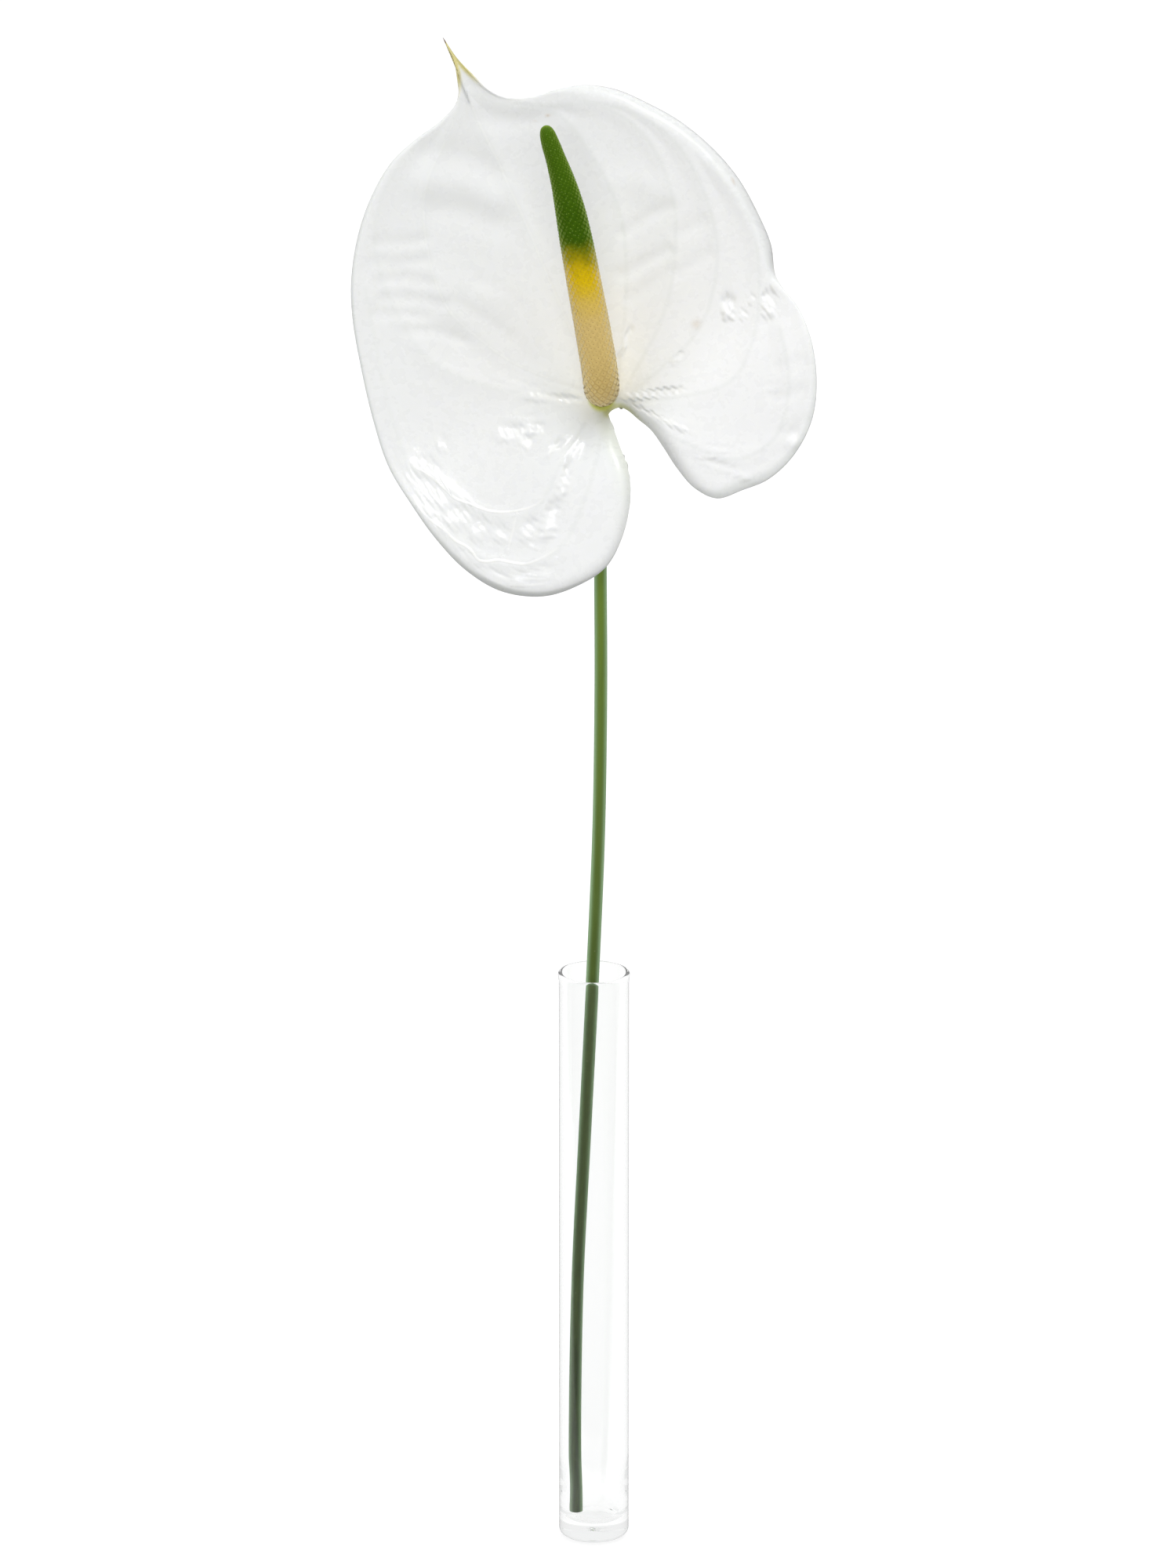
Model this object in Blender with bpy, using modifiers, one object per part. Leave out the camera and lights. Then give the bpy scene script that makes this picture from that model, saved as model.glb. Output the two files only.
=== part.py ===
"""Cut anthurium flower standing in a slim glass tube vase.

Metres, +Z up. The origin is the centre of the vase's underside, and the flower faces -Y, leaning back
and turned a little to its right. The flower's outlines are given in millimetres on a plane that faces
a viewer who stands in front of it and looks slightly down.
"""

import math

import bmesh
import bpy
import numpy as np
from mathutils import Vector

MM = 0.001

# Vase: a glass tube with a beaded rim, a heavy base and a bowl-shaped floor
VASE_HEIGHT = 206.0
VASE_RADIUS = 12.0
VASE_WALL = 1.5
RIM_BEAD = 0.3
FOOT_FILLET = 2.2
FLOOR_THICK = 6.0
FLOOR_CORNER = 4.5
FLOOR_TAPER_TOP = 30.0
FLOOR_TAPER = 1.3
VASE_STEPS = 48

# Stem: a round stalk that stands on the floor, leans on the back of the rim and bends to the flower
STEM_RADII = (2.2, 2.15, 2.25, 2.2, 2.15, 2.2, 2.3)
STEM_PATH = (
    (-6.0, -2.1, 8.9),
    (-6.5, -0.8, 33.0),
    (-5.75, 2.3, 90.0),
    (-3.1, 5.0, 147.0),
    (-0.3, 7.88, 205.0),
    (1.65, 11.1, 254.0),
    (2.35, 14.4, 304.0),
    (2.2, 16.4, 345.0),
    (2.2, 16.6, 370.0),
    (2.3, 14.6, 387.0),
)
STEM_RINGS = 33
STEM_SIDES = 12

# Flower: where the blade, the stem and the spadix meet, and how far up the viewing plane leans
NODE = (2.75, 4.0, 407.1)
VIEW_LEAN = math.radians(17.0)
VIEW_DISTANCE = 4400.0
NECK_LEAN = math.radians(68.0)
NECK_AT = (-0.2, 2.7, -1.9)
NECK_ABOVE = 2.3
NECK_LENGTH = 6.0
SEAT_GAP = 0.35

# Blade of the spathe. The margin runs from the right of the sinus over the tip to the left of it:
# millimetres right of the node, millimetres up, and the degrees through which the edge rolls back
MARGIN = (
    (1.9, -2.4, 0),
    (3.3, -1.2, 0),
    (6.0, -0.6, 0),
    (8.5, -1.6, 0),
    (12.0, -4.5, 0),
    (16.4, -8.2, 0),
    (20.5, -13.9, 0),
    (25.0, -20.8, 10),
    (31.0, -27.6, 25),
    (38.5, -31.1, 45),
    (47.0, -28.4, 55),
    (56.0, -24.6, 50),
    (64.5, -16.5, 45),
    (70.5, -5.0, 45),
    (72.2, 7.0, 45),
    (70.6, 21.2, 40),
    (66.0, 33.0, 35),
    (60.4, 40.2, 40),
    (58.3, 44.5, 70),
    (57.0, 54.0, 95),
    (53.4, 63.0, 100),
    (46.0, 76.5, 105),
    (37.0, 87.0, 105),
    (26.0, 96.0, 100),
    (15.0, 102.1, 95),
    (4.5, 106.6, 85),
    (-6.0, 108.0, 70),
    (-15.0, 106.5, 50),
    (-24.5, 103.6, 35),
    (-33.0, 103.6, 10),
    (-39.0, 106.5, -25),
    (-44.0, 111.3, -40),
    (-49.0, 117.1, -30),
    (-53.6, 123.8, 0),
    (-50.3, 117.1, -30),
    (-48.6, 111.0, -35),
    (-48.2, 106.0, -15),
    (-49.6, 101.0, 15),
    (-55.0, 95.3, 30),
    (-62.4, 89.9, 35),
    (-70.5, 82.5, 40),
    (-77.0, 72.0, 45),
    (-82.0, 58.5, 50),
    (-84.5, 43.0, 50),
    (-84.2, 30.0, 50),
    (-81.3, 13.0, 45),
    (-77.0, -5.5, 45),
    (-72.0, -20.5, 45),
    (-64.5, -33.0, 45),
    (-56.0, -45.0, 50),
    (-46.0, -55.5, 55),
    (-34.0, -62.6, 55),
    (-20.0, -64.3, 50),
    (-8.5, -60.8, 40),
    (1.3, -54.3, 25),
    (7.0, -43.5, 10),
    (9.5, -30.5, 0),
    (8.7, -21.4, 0),
    (5.8, -13.2, 0),
    (3.6, -7.0, 0),
    (2.4, -4.0, 0),
    (1.9, -2.4, 0),
)
TIP_LEAN = math.radians(23.4)
BLADE_THICK = 0.8
BLADE_COLUMNS = 110
BLADE_ROWS = 20
COLLAR = (2.95, 2.9)
COLLAR_DOWN = 0.2
SINUS_BEARING = -62.0

# Fibres of the blade run from the collar to the margin. On the right lobe they set out higher than
# the margin lies and bend down to it, and at the tip they spread before they gather
FIBRE_PULL = 0.6
LOBE_FAN = math.radians(32.0)
LOBE_FAN_END = 0.25
LOBE_FAN_RISE = 0.6
APEX_FAN_END = 0.03
TIP_PLACE = 33.0
TIP_FAN = math.radians(2.0)
TIP_FAN_REACH = 6.0

# The margin rolls round this radius, from slight rolls to full ones, over no more than this share
ROLL_RADIUS = (2.0, 7.0)
FULL_ROLL = math.radians(105.0)
ROLL_SHARE = 0.3

# The edge of the sinus turns back by this depth over this width, from the apex to these margin points
SINUS_TURN = 2.6
SINUS_WIDTH = 4.5
SINUS_EDGES = (10, 48)
SINUS_FADE = 4.0

# How the blade bows: its slope away from the viewer, its cup, and the funnel round the node
BACKWARD_SLOPE = 0.36
CUP_ACROSS = 0.0022
CUP_ALONG = 0.0011
CUP_CENTRE = 25.0
FUNNEL_DEPTH = 6.0
FUNNEL_REACH = 17.0
FUNNEL_ABOVE = 0.1
LOBES_BELOW = 12.0
NODE_DIP = 1.0
NODE_DIP_REACH = 6.0

# Sunken veins, each a few points on the viewing plane
MIDRIB = ((0, 3), (-9, 22), (-18, 43), (-26, 62), (-31, 73), (-36, 84), (-41, 94), (-49, 114))
LOOPS = (
    ((-8, 6), (-20, 10), (-31, 15), (-42, 23), (-53, 34), (-60, 59), (-59, 75), (-52, 91), (-47, 104)),
    ((-8, 3), (-26, 4), (-44, 8), (-59, 16), (-69, 31), (-76, 49), (-76, 64), (-69, 80), (-47, 104)),
    ((-6, -6), (-14, -20), (-24, -36), (-41, -36), (-54, -27), (-64, -21), (-71, -4), (-80, 40)),
    ((0, -9), (-4, -26), (-16, -50), (-34, -54), (-51, -45), (-64, -32)),
    ((5, 6), (8, 35), (8, 50), (6, 65), (-4, 85), (-15, 98), (-32, 101), (-44, 105)),
    ((8, 6), (20, 29), (24, 46), (24, 69), (15, 90), (0, 101), (-20, 101), (-42, 105)),
    ((10, 4), (32, 25), (38, 42), (38, 60), (27, 86), (10, 99), (-8, 103)),
    ((12, 1), (43, 8), (51, 23), (53, 42), (50, 62), (36, 82)),
    ((12, -2), (27, -12), (45, -18), (58, -11), (63, 7), (60, 26)),
)
GROOVE_DEPTH = 0.9
GROOVE_WIDTH = 2.4
MIDRIB_WIDER = 1.25
VEINS_START = 20.0
PUFF = 1.1
PUFF_REACH = 7.0
RIPPLES = 25
RIPPLE_HEIGHT = 0.35

# Spadix: centre line on the viewing plane with its radius, all covered by small diamond florets
SPADIX = (
    (-0.2, 0.0, 2.2),
    (-0.2, 0.15, 3.8),
    (-0.2, 0.5, 4.9),
    (-0.2, 1.3, 5.6),
    (-0.3, 3.0, 5.85),
    (-1.0, 9.0, 5.95),
    (-3.2, 22.0, 5.9),
    (-6.0, 37.0, 5.7),
    (-8.9, 52.5, 5.4),
    (-10.9, 62.5, 4.9),
    (-13.0, 71.0, 4.15),
    (-15.8, 79.8, 3.0),
    (-17.7, 85.0, 2.4),
    (-18.8, 88.2, 1.5),
    (-19.2, 89.4, 0.5),
)
SPADIX_FORWARD = 13.0
SPADIX_BEND = 42.0
FOOT_BEND = 3.0
FLORETS_ROUND = 15
FLORET_PITCH = 2.4
FLORET_HEIGHT = 0.32
FULL_FLORETS = 4.0
FLORET_TWIST = math.radians(2.2)

RIGHT = np.array((1.0, 0.0, 0.0))
UP = np.array((0.0, math.sin(VIEW_LEAN), math.cos(VIEW_LEAN)))
TOWARD = np.array((0.0, -math.cos(VIEW_LEAN), math.sin(VIEW_LEAN)))
NODE_POINT = np.array(NODE)
NECK = np.array((0.0, math.cos(NECK_LEAN), math.sin(NECK_LEAN)))


def in_room(across, up, toward):
    """Places on the viewing plane, and how far in front of it they lie, as points in the room."""
    nearer = 1 - toward / VIEW_DISTANCE
    spread = np.multiply.outer(across * nearer, RIGHT) + np.multiply.outer(up * nearer, UP)
    return (NODE_POINT + spread + np.multiply.outer(toward, TOWARD)) * MM


def smooth(points, places):
    """A smooth curve through the points, read at places from 0 to the number of points less one."""
    rows = np.asarray(points, float)
    at = np.concatenate([[0.0], np.cumsum(np.sqrt(np.linalg.norm(np.diff(rows[:, :2], axis=0), axis=1)))])
    slopes = np.gradient(rows, at, axis=0)
    first = np.minimum(np.asarray(places, float).astype(int), len(rows) - 2)
    f = (np.asarray(places, float) - first)[..., None]
    span = (at[first + 1] - at[first])[..., None]
    start = (1 + 2 * f) * (1 - f) ** 2 * rows[first] + f * (1 - f) ** 2 * span * slopes[first]
    end = f * f * (3 - 2 * f) * rows[first + 1] + f * f * (f - 1) * span * slopes[first + 1]
    return start + end


def distance_to(curve, across, up):
    """Distance of each point of the viewing plane from a vein."""
    line = smooth(curve, np.linspace(0, len(curve) - 1, 5 * len(curve)))
    start, step = line[:-1], np.diff(line, axis=0)
    off = np.stack([across, up], -1)[..., None, :] - start
    part = np.clip((off * step).sum(-1) / (step * step).sum(-1), 0, 1)
    return np.linalg.norm(off - part[..., None] * step, axis=-1).min(-1)


def bow(across, up):
    """Height of the blade's smooth form toward the viewer."""
    along = up * math.cos(TIP_LEAN) - across * math.sin(TIP_LEAN)
    side = across * math.cos(TIP_LEAN) + up * math.sin(TIP_LEAN)
    away = np.hypot(across, up)
    cup = CUP_ACROSS * side**2 + CUP_ALONG * ((along - CUP_CENTRE) ** 2 - CUP_CENTRE**2)
    lobeward = 0.5 - 0.5 * np.tanh(along / LOBES_BELOW)
    depth = FUNNEL_DEPTH * (FUNNEL_ABOVE + (1 - FUNNEL_ABOVE) * lobeward)
    funnel = depth * (1 - np.exp(-((away / FUNNEL_REACH) ** 2)))
    dip = NODE_DIP * np.exp(-((away / NODE_DIP_REACH) ** 2))
    return cup + funnel - dip - BACKWARD_SLOPE * along


def relief(across, up, row):
    """Sunken veins with the blade puffed up between them, and ripples that run out to the margin."""
    near = distance_to(MIDRIB, across, up) / MIDRIB_WIDER
    for loop in LOOPS:
        near = np.minimum(near, distance_to(loop, across, up))
    away = np.hypot(across, up)
    settled = 1 - np.exp(-((away / VEINS_START) ** 2))
    groove = GROOVE_DEPTH * np.exp(-((near / GROOVE_WIDTH) ** 2))
    puff = PUFF * near**2 / (near**2 + PUFF_REACH**2)
    bearing = np.arctan2(up, across)
    ripple = RIPPLE_HEIGHT * np.sin(RIPPLES * bearing) * np.sin(math.pi * row) ** 2
    return settled * (puff - groove + ripple)


def sinus_turn(across, up, place):
    """How far the blade turns back along the two edges of the sinus, fading out past the lobes' ends."""
    right_end, left_start = SINUS_EDGES
    right = distance_to([point[:2] for point in MARGIN[: right_end + 1]], across, up)
    left = distance_to([point[:2] for point in MARGIN[left_start:]], across, up)
    right_fade = np.clip((right_end - place) / SINUS_FADE, 0, 1)
    left_fade = np.clip((place - left_start) / SINUS_FADE, 0, 1)
    from_apex = np.hypot(across - MARGIN[0][0], up - MARGIN[0][1])
    start = 1 - np.exp(-((from_apex / SINUS_WIDTH) ** 2))
    depth = 0
    for near, fade in ((right, right_fade), (left, left_fade)):
        depth = depth + fade * fade * (3 - 2 * fade) * np.maximum(1 - near / SINUS_WIDTH, 0) ** 2
    return SINUS_TURN * start * depth


def fibre_leave(bearing, column, place):
    """The bearing at which the fibre to a place on the margin leaves the collar."""
    bearing = np.where((column > 0.5) & (bearing < 0), bearing + 2 * math.pi, bearing)
    fan = LOBE_FAN * np.minimum(column / LOBE_FAN_END, 1) ** LOBE_FAN_RISE
    fan = fan - 0.5 * math.pi * np.exp(-((column / APEX_FAN_END) ** 2))
    leave = np.where(column < 0.5, np.maximum(bearing, fan), bearing)
    from_tip = place - TIP_PLACE
    return leave + TIP_FAN * from_tip * np.exp(-((from_tip / TIP_FAN_REACH) ** 2))


def blade_points(column, row):
    """The blade's face. Column 0 to 1 runs round the margin, row 0 to 1 from the collar to the edge."""
    place = column * (len(MARGIN) - 1)
    edge = smooth(MARGIN, place)
    turn = np.radians(SINUS_BEARING + 360 * column)
    collar_x = NECK_AT[0] + COLLAR[0] * np.cos(turn)
    collar_y = NECK_AT[1] - COLLAR_DOWN + COLLAR[1] * np.sin(turn)
    reach_x, reach_y = edge[..., 0] - collar_x, edge[..., 1] - collar_y
    reach = np.hypot(reach_x, reach_y)
    leave = fibre_leave(np.arctan2(reach_y, reach_x), column, place)
    roll = np.radians(edge[..., 2])
    wide = ROLL_RADIUS[0] + (ROLL_RADIUS[1] - ROLL_RADIUS[0]) * (roll / FULL_ROLL) ** 2
    wide = np.minimum(wide, ROLL_SHARE * reach)
    flat = reach - wide * np.sin(np.minimum(np.abs(roll), math.pi / 2))
    path = row * (flat + wide * np.abs(roll))
    turned = np.maximum(path - flat, 0) / wide
    part = np.where(path < flat, path, flat + wide * np.sin(turned)) / reach
    drop = np.sign(roll) * wide * (1 - np.cos(turned))
    pull_x = collar_x + FIBRE_PULL * reach * np.cos(leave)
    pull_y = collar_y + FIBRE_PULL * reach * np.sin(leave)
    across = (1 - part) ** 2 * collar_x + 2 * part * (1 - part) * pull_x + part**2 * edge[..., 0]
    up = (1 - part) ** 2 * collar_y + 2 * part * (1 - part) * pull_y + part**2 * edge[..., 1]
    back = drop + sinus_turn(across, up, place)
    return in_room(across, up, bow(across, up) + relief(across, up, row) - back)


def new_collection(name):
    made = bpy.data.collections.new(name)
    bpy.context.scene.collection.children.link(made)
    return made


def material(name, colour, roughness, transmission=0.0):
    made = bpy.data.materials.new(name)
    made.use_nodes = True
    shader = made.node_tree.nodes["Principled BSDF"]
    shader.inputs["Base Color"].default_value = (*colour, 1.0)
    shader.inputs["Roughness"].default_value = roughness
    shader.inputs["Metallic"].default_value = 0.0
    shader.inputs["Transmission Weight"].default_value = transmission
    return made


def add_object(name, data, look, parts):
    made = bpy.data.objects.new(name, data)
    made.data.materials.append(look)
    parts.objects.link(made)
    return made


def grid(columns, rows):
    """A flat grid, and its vertices' places as columns and rows from 0 to 1."""
    bm = bmesh.new()
    bmesh.ops.create_grid(bm, x_segments=columns, y_segments=rows, size=0.5)
    places = np.array([vert.co for vert in bm.verts])[:, :2] + 0.5
    return bm, places[:, 0], places[:, 1]


def move_to(bm, points):
    for vert, point in zip(bm.verts, points):
        vert.co = point


def vase_profile():
    """Half section from the middle of the floor up the inside, over the rim and down to the foot."""
    inner = VASE_RADIUS - VASE_WALL
    bowl = inner - FLOOR_TAPER
    corner_x, corner_z = bowl - FLOOR_CORNER, FLOOR_THICK + FLOOR_CORNER
    points = [(0.0, FLOOR_THICK)]
    for k in range(7):
        a = math.radians(15 * k)
        points.append((corner_x + FLOOR_CORNER * math.sin(a), corner_z - FLOOR_CORNER * math.cos(a)))
    for k in range(1, 5):
        f = k / 4
        ease = f * f * (3 - 2 * f)
        points.append((bowl + FLOOR_TAPER * ease, corner_z + (FLOOR_TAPER_TOP - corner_z) * f))
    bead = (VASE_WALL + RIM_BEAD) / 2
    points.append((inner, VASE_HEIGHT - 3 * bead))
    for k in range(7):
        a = math.radians(180 - 30 * k)
        points.append((inner + bead + bead * math.cos(a), VASE_HEIGHT - bead + bead * math.sin(a)))
    points.append((VASE_RADIUS, VASE_HEIGHT - 3 * bead))
    for k in range(5):
        a = math.radians(22.5 * k)
        points.append((
            VASE_RADIUS - FOOT_FILLET + FOOT_FILLET * math.cos(a),
            FOOT_FILLET - FOOT_FILLET * math.sin(a),
        ))
    points.append((0.0, 0.0))
    return points


def make_vase(parts):
    mesh = bpy.data.meshes.new("vase")
    profile = [(x * MM, 0.0, z * MM) for x, z in vase_profile()]
    mesh.from_pydata(profile, [(k, k + 1) for k in range(len(profile) - 1)], [])
    vase = add_object("vase", mesh, material("clear glass", (0.97, 0.985, 0.98), 0.02, 1.0), parts)
    turn = vase.modifiers.new("turned", "SCREW")
    turn.steps = turn.render_steps = VASE_STEPS
    turn.use_merge_vertices = True
    turn.merge_threshold = 0.00001
    turn.use_smooth_shade = True
    return vase


def make_stem(parts):
    """One curve from the cut end to the neck, with the neck's last point on the neck's own lean."""
    neck = np.array([NECK_AT - NECK_LENGTH * NECK, NECK_AT + NECK_ABOVE * NECK])
    path = np.concatenate([STEM_PATH, in_room(*neck.T) / MM])
    heights = np.concatenate([np.linspace(0, 0.8, STEM_RINGS - 10), np.linspace(0.8, 1, 11)[1:]])
    line = smooth(np.column_stack([path[:, 2], path[:, 1], path[:, 0]]), heights * (len(path) - 1))
    radii = np.interp(heights, np.linspace(0, 1, len(STEM_RADII)), STEM_RADII)
    curve = bpy.data.curves.new("stem", "CURVE")
    curve.dimensions = "3D"
    curve.bevel_depth = MM
    curve.bevel_resolution = STEM_SIDES // 4 - 1
    curve.use_fill_caps = True
    spline = curve.splines.new("POLY")
    spline.points.add(len(line) - 1)
    for point, (z, y, x), radius in zip(spline.points, line, radii):
        point.co = (x * MM, y * MM, z * MM, 1.0)
        point.radius = radius
    spline.use_smooth = True
    return add_object("stem", curve, material("green stalk", (0.10, 0.19, 0.045), 0.42), parts)


def make_spathe(parts):
    bm, column, row = grid(BLADE_COLUMNS, BLADE_ROWS)
    eased = 0.5 * (row + np.sin(0.5 * math.pi * row))
    move_to(bm, blade_points(column, eased))
    bmesh.ops.remove_doubles(bm, verts=bm.verts, dist=0.00001)
    bmesh.ops.recalc_face_normals(bm, faces=bm.faces)
    bm.normal_update()
    facing = sum((face.normal * face.calc_area() for face in bm.faces), Vector())
    if facing.dot(Vector(TOWARD)) < 0:
        bmesh.ops.reverse_faces(bm, faces=bm.faces)
    bmesh.ops.triangulate(bm, faces=bm.faces, quad_method="SHORT_EDGE")
    mesh = bpy.data.meshes.new("spathe")
    bm.to_mesh(mesh)
    bm.free()
    mesh.shade_smooth()
    spathe = add_object("spathe", mesh, material("white spathe", (0.84, 0.86, 0.78), 0.28), parts)
    shell = spathe.modifiers.new("blade thickness", "SOLIDIFY")
    shell.thickness = BLADE_THICK * MM
    shell.offset = -1.0
    return spathe


def spadix_axis(along_part):
    """At parts of the skin's length: centre, radius, the sides right and front, and that length."""
    line = smooth(SPADIX, np.linspace(0, len(SPADIX) - 1, 400))
    foot = NECK_AT + (NECK_ABOVE + SEAT_GAP) * NECK
    foot_slope = math.tan(NECK_LEAN) - SPADIX_FORWARD / SPADIX_BEND
    forward = foot[2] + SPADIX_FORWARD * (1 - np.exp(-line[:, 1] / SPADIX_BEND))
    forward += foot_slope * FOOT_BEND * (1 - np.exp(-line[:, 1] / FOOT_BEND))
    centre = np.column_stack([line[:, 0], line[:, 1] + foot[1], forward])
    length = np.concatenate([[0.0], np.cumsum(np.linalg.norm(np.diff(centre, axis=0), axis=1))])
    skin = np.concatenate([[0.0], np.cumsum(np.hypot(np.diff(length), np.diff(line[:, 2])))])
    want = along_part * skin[-1]
    at = np.stack([np.interp(want, skin, values) for values in centre.T], -1)
    radius = np.interp(want, skin, line[:, 2])
    slope = np.gradient(centre, length, axis=0)
    axis = np.stack([np.interp(want, skin, slope[:, k]) for k in range(3)], -1)
    axis /= np.linalg.norm(axis, axis=-1, keepdims=True)
    side = np.cross(axis, (0.0, 0.0, 1.0))
    side /= np.linalg.norm(side, axis=-1, keepdims=True)
    front = np.cross(side, axis)
    return at, radius, side, front, skin[-1]


def make_spadix(parts):
    """A tapering spike whose lattice of columns and rows carries one low pyramid for each floret."""
    skin_length = spadix_axis(np.zeros(1))[4]
    columns = 2 * FLORETS_ROUND
    rows = 2 * round(skin_length / FLORET_PITCH)
    bm, round_part, along_part = grid(columns, rows)
    centre, radius, side, front, _ = spadix_axis(along_part)
    row_number = np.rint(along_part * rows)
    raised = (np.rint(round_part * columns) + row_number) % 2 == 1
    raised &= (row_number > 0) & (row_number < rows)
    height = radius + np.where(raised, FLORET_HEIGHT * np.minimum(1, radius / FULL_FLORETS), 0)
    turn = 2 * math.pi * round_part + FLORET_TWIST * row_number
    end = (row_number == 0) | (row_number == rows)
    height = np.where(end, 0, height)
    off = (side * np.cos(turn)[:, None] + front * np.sin(turn)[:, None]) * height[:, None]
    move_to(bm, in_room(*(centre + off).T))
    tip = bm.verts.layers.int.new("floret tip")
    for vert, is_raised in zip(bm.verts, raised):
        vert[tip] = int(is_raised)
    bmesh.ops.remove_doubles(bm, verts=bm.verts, dist=0.00001)
    for face in list(bm.faces):
        low = [vert for vert in face.verts if not vert[tip]]
        if len(face.verts) == 4 and len(low) == 2:
            bmesh.utils.face_split(face, *low)
    bmesh.ops.recalc_face_normals(bm, faces=bm.faces)
    mesh = bpy.data.meshes.new("spadix")
    bm.to_mesh(mesh)
    bm.free()
    return add_object("spadix", mesh, material("spadix florets", (0.62, 0.50, 0.20), 0.5), parts)


for old in list(bpy.data.objects):
    bpy.data.objects.remove(old, do_unlink=True)
anthurium = new_collection("anthurium in vase")
make_vase(anthurium)
make_stem(anthurium)
make_spathe(anthurium)
make_spadix(anthurium)
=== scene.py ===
"""Cut white anthurium in a slim glass tube vase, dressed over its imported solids."""

import math

import bmesh
import bpy
import numpy as np
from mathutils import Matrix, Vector


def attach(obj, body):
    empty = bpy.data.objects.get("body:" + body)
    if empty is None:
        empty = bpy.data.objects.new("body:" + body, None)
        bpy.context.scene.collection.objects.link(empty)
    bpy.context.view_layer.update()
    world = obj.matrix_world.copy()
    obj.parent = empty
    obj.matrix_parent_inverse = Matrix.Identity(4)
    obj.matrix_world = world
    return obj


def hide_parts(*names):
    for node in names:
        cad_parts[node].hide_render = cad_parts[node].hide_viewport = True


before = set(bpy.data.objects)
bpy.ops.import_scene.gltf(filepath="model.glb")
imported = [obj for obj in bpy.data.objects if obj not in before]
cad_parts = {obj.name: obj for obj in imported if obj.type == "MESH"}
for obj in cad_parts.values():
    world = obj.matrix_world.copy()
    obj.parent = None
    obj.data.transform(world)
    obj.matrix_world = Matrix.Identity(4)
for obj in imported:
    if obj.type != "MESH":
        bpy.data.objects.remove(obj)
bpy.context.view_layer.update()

MM = 0.001
SEE_ALL = bpy.context.scene.collection


# Vase. A drawn tube of clear glass, its mouth fire-polished to a thin bead. The foot is a thick plug of
# the same glass with a bowl-shaped floor, melted in while the tube turned, so nothing is joined to it.

VASE_HEIGHT = 206.0
VASE_RADIUS = 12.0
VASE_WALL = 1.5
RIM_BEAD = 0.3
FOOT_FILLET = 2.2
FLOOR_THICK = 6.0
FLOOR_CORNER = 4.5
FLOOR_TAPER_TOP = 30.0
FLOOR_TAPER = 1.3
VASE_STEPS = 160
BESIDE_BEND = 0.5
GLASS_IOR = 1.5
GLASS_BOUNCES = 32
# Painted light: how brightly the glass glows on the last bounce
TRAPPED_LIGHT = 0.45
CLEAR = (0.994, 0.998, 0.996)
# Painted shade: the glass's colour where it is seen edge-on
EDGE_GREY = (0.94, 0.945, 0.945)


def arc(centre_x, centre_z, radius, start, end, steps):
    """Points of the turned outline on an arc, from one angle to another in degrees."""
    points = []
    for k in range(steps + 1):
        a = math.radians(start + (end - start) * k / steps)
        points.append((centre_x + radius * math.cos(a), centre_z + radius * math.sin(a)))
    return points


def glass_outline():
    """Half section from the middle of the floor up the inside, over the bead and down to the foot.

    A ring close beside each bend keeps the long straight walls from being shaded as if they were curved.
    """
    inner = VASE_RADIUS - VASE_WALL
    bowl = inner - FLOOR_TAPER
    corner_z = FLOOR_THICK + FLOOR_CORNER
    bead = (VASE_WALL + RIM_BEAD) / 2
    points = [(0.0, FLOOR_THICK), (bowl - FLOOR_CORNER - BESIDE_BEND, FLOOR_THICK)]
    points += arc(bowl - FLOOR_CORNER, corner_z, FLOOR_CORNER, 270, 360, 14)
    for k in range(1, 13):
        f = k / 12
        ease = f * f * (3 - 2 * f)
        points.append((bowl + FLOOR_TAPER * ease, corner_z + (FLOOR_TAPER_TOP - corner_z) * f))
    points.append((inner, FLOOR_TAPER_TOP + BESIDE_BEND))
    points.append((inner, VASE_HEIGHT - 4 * bead))
    points += arc(inner + bead, VASE_HEIGHT - bead, bead, 180, 0, 16)
    points.append((VASE_RADIUS, VASE_HEIGHT - 4 * bead))
    points.append((VASE_RADIUS, FOOT_FILLET + BESIDE_BEND))
    points += arc(VASE_RADIUS - FOOT_FILLET, FOOT_FILLET, FOOT_FILLET, 0, -90, 12)
    points.append((VASE_RADIUS - FOOT_FILLET - BESIDE_BEND, 0.0))
    points.append((0.0, 0.0))
    return points


def link(tree, source, target):
    tree.links.new(source, target)


def new_finish(name):
    """A material with its Principled shader and the piece's own coordinates."""
    made = bpy.data.materials.new(name)
    made.use_nodes = True
    tree = made.node_tree
    place = tree.nodes.new("ShaderNodeTexCoord")
    return made, tree, tree.nodes["Principled BSDF"], place.outputs["Object"]


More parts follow.
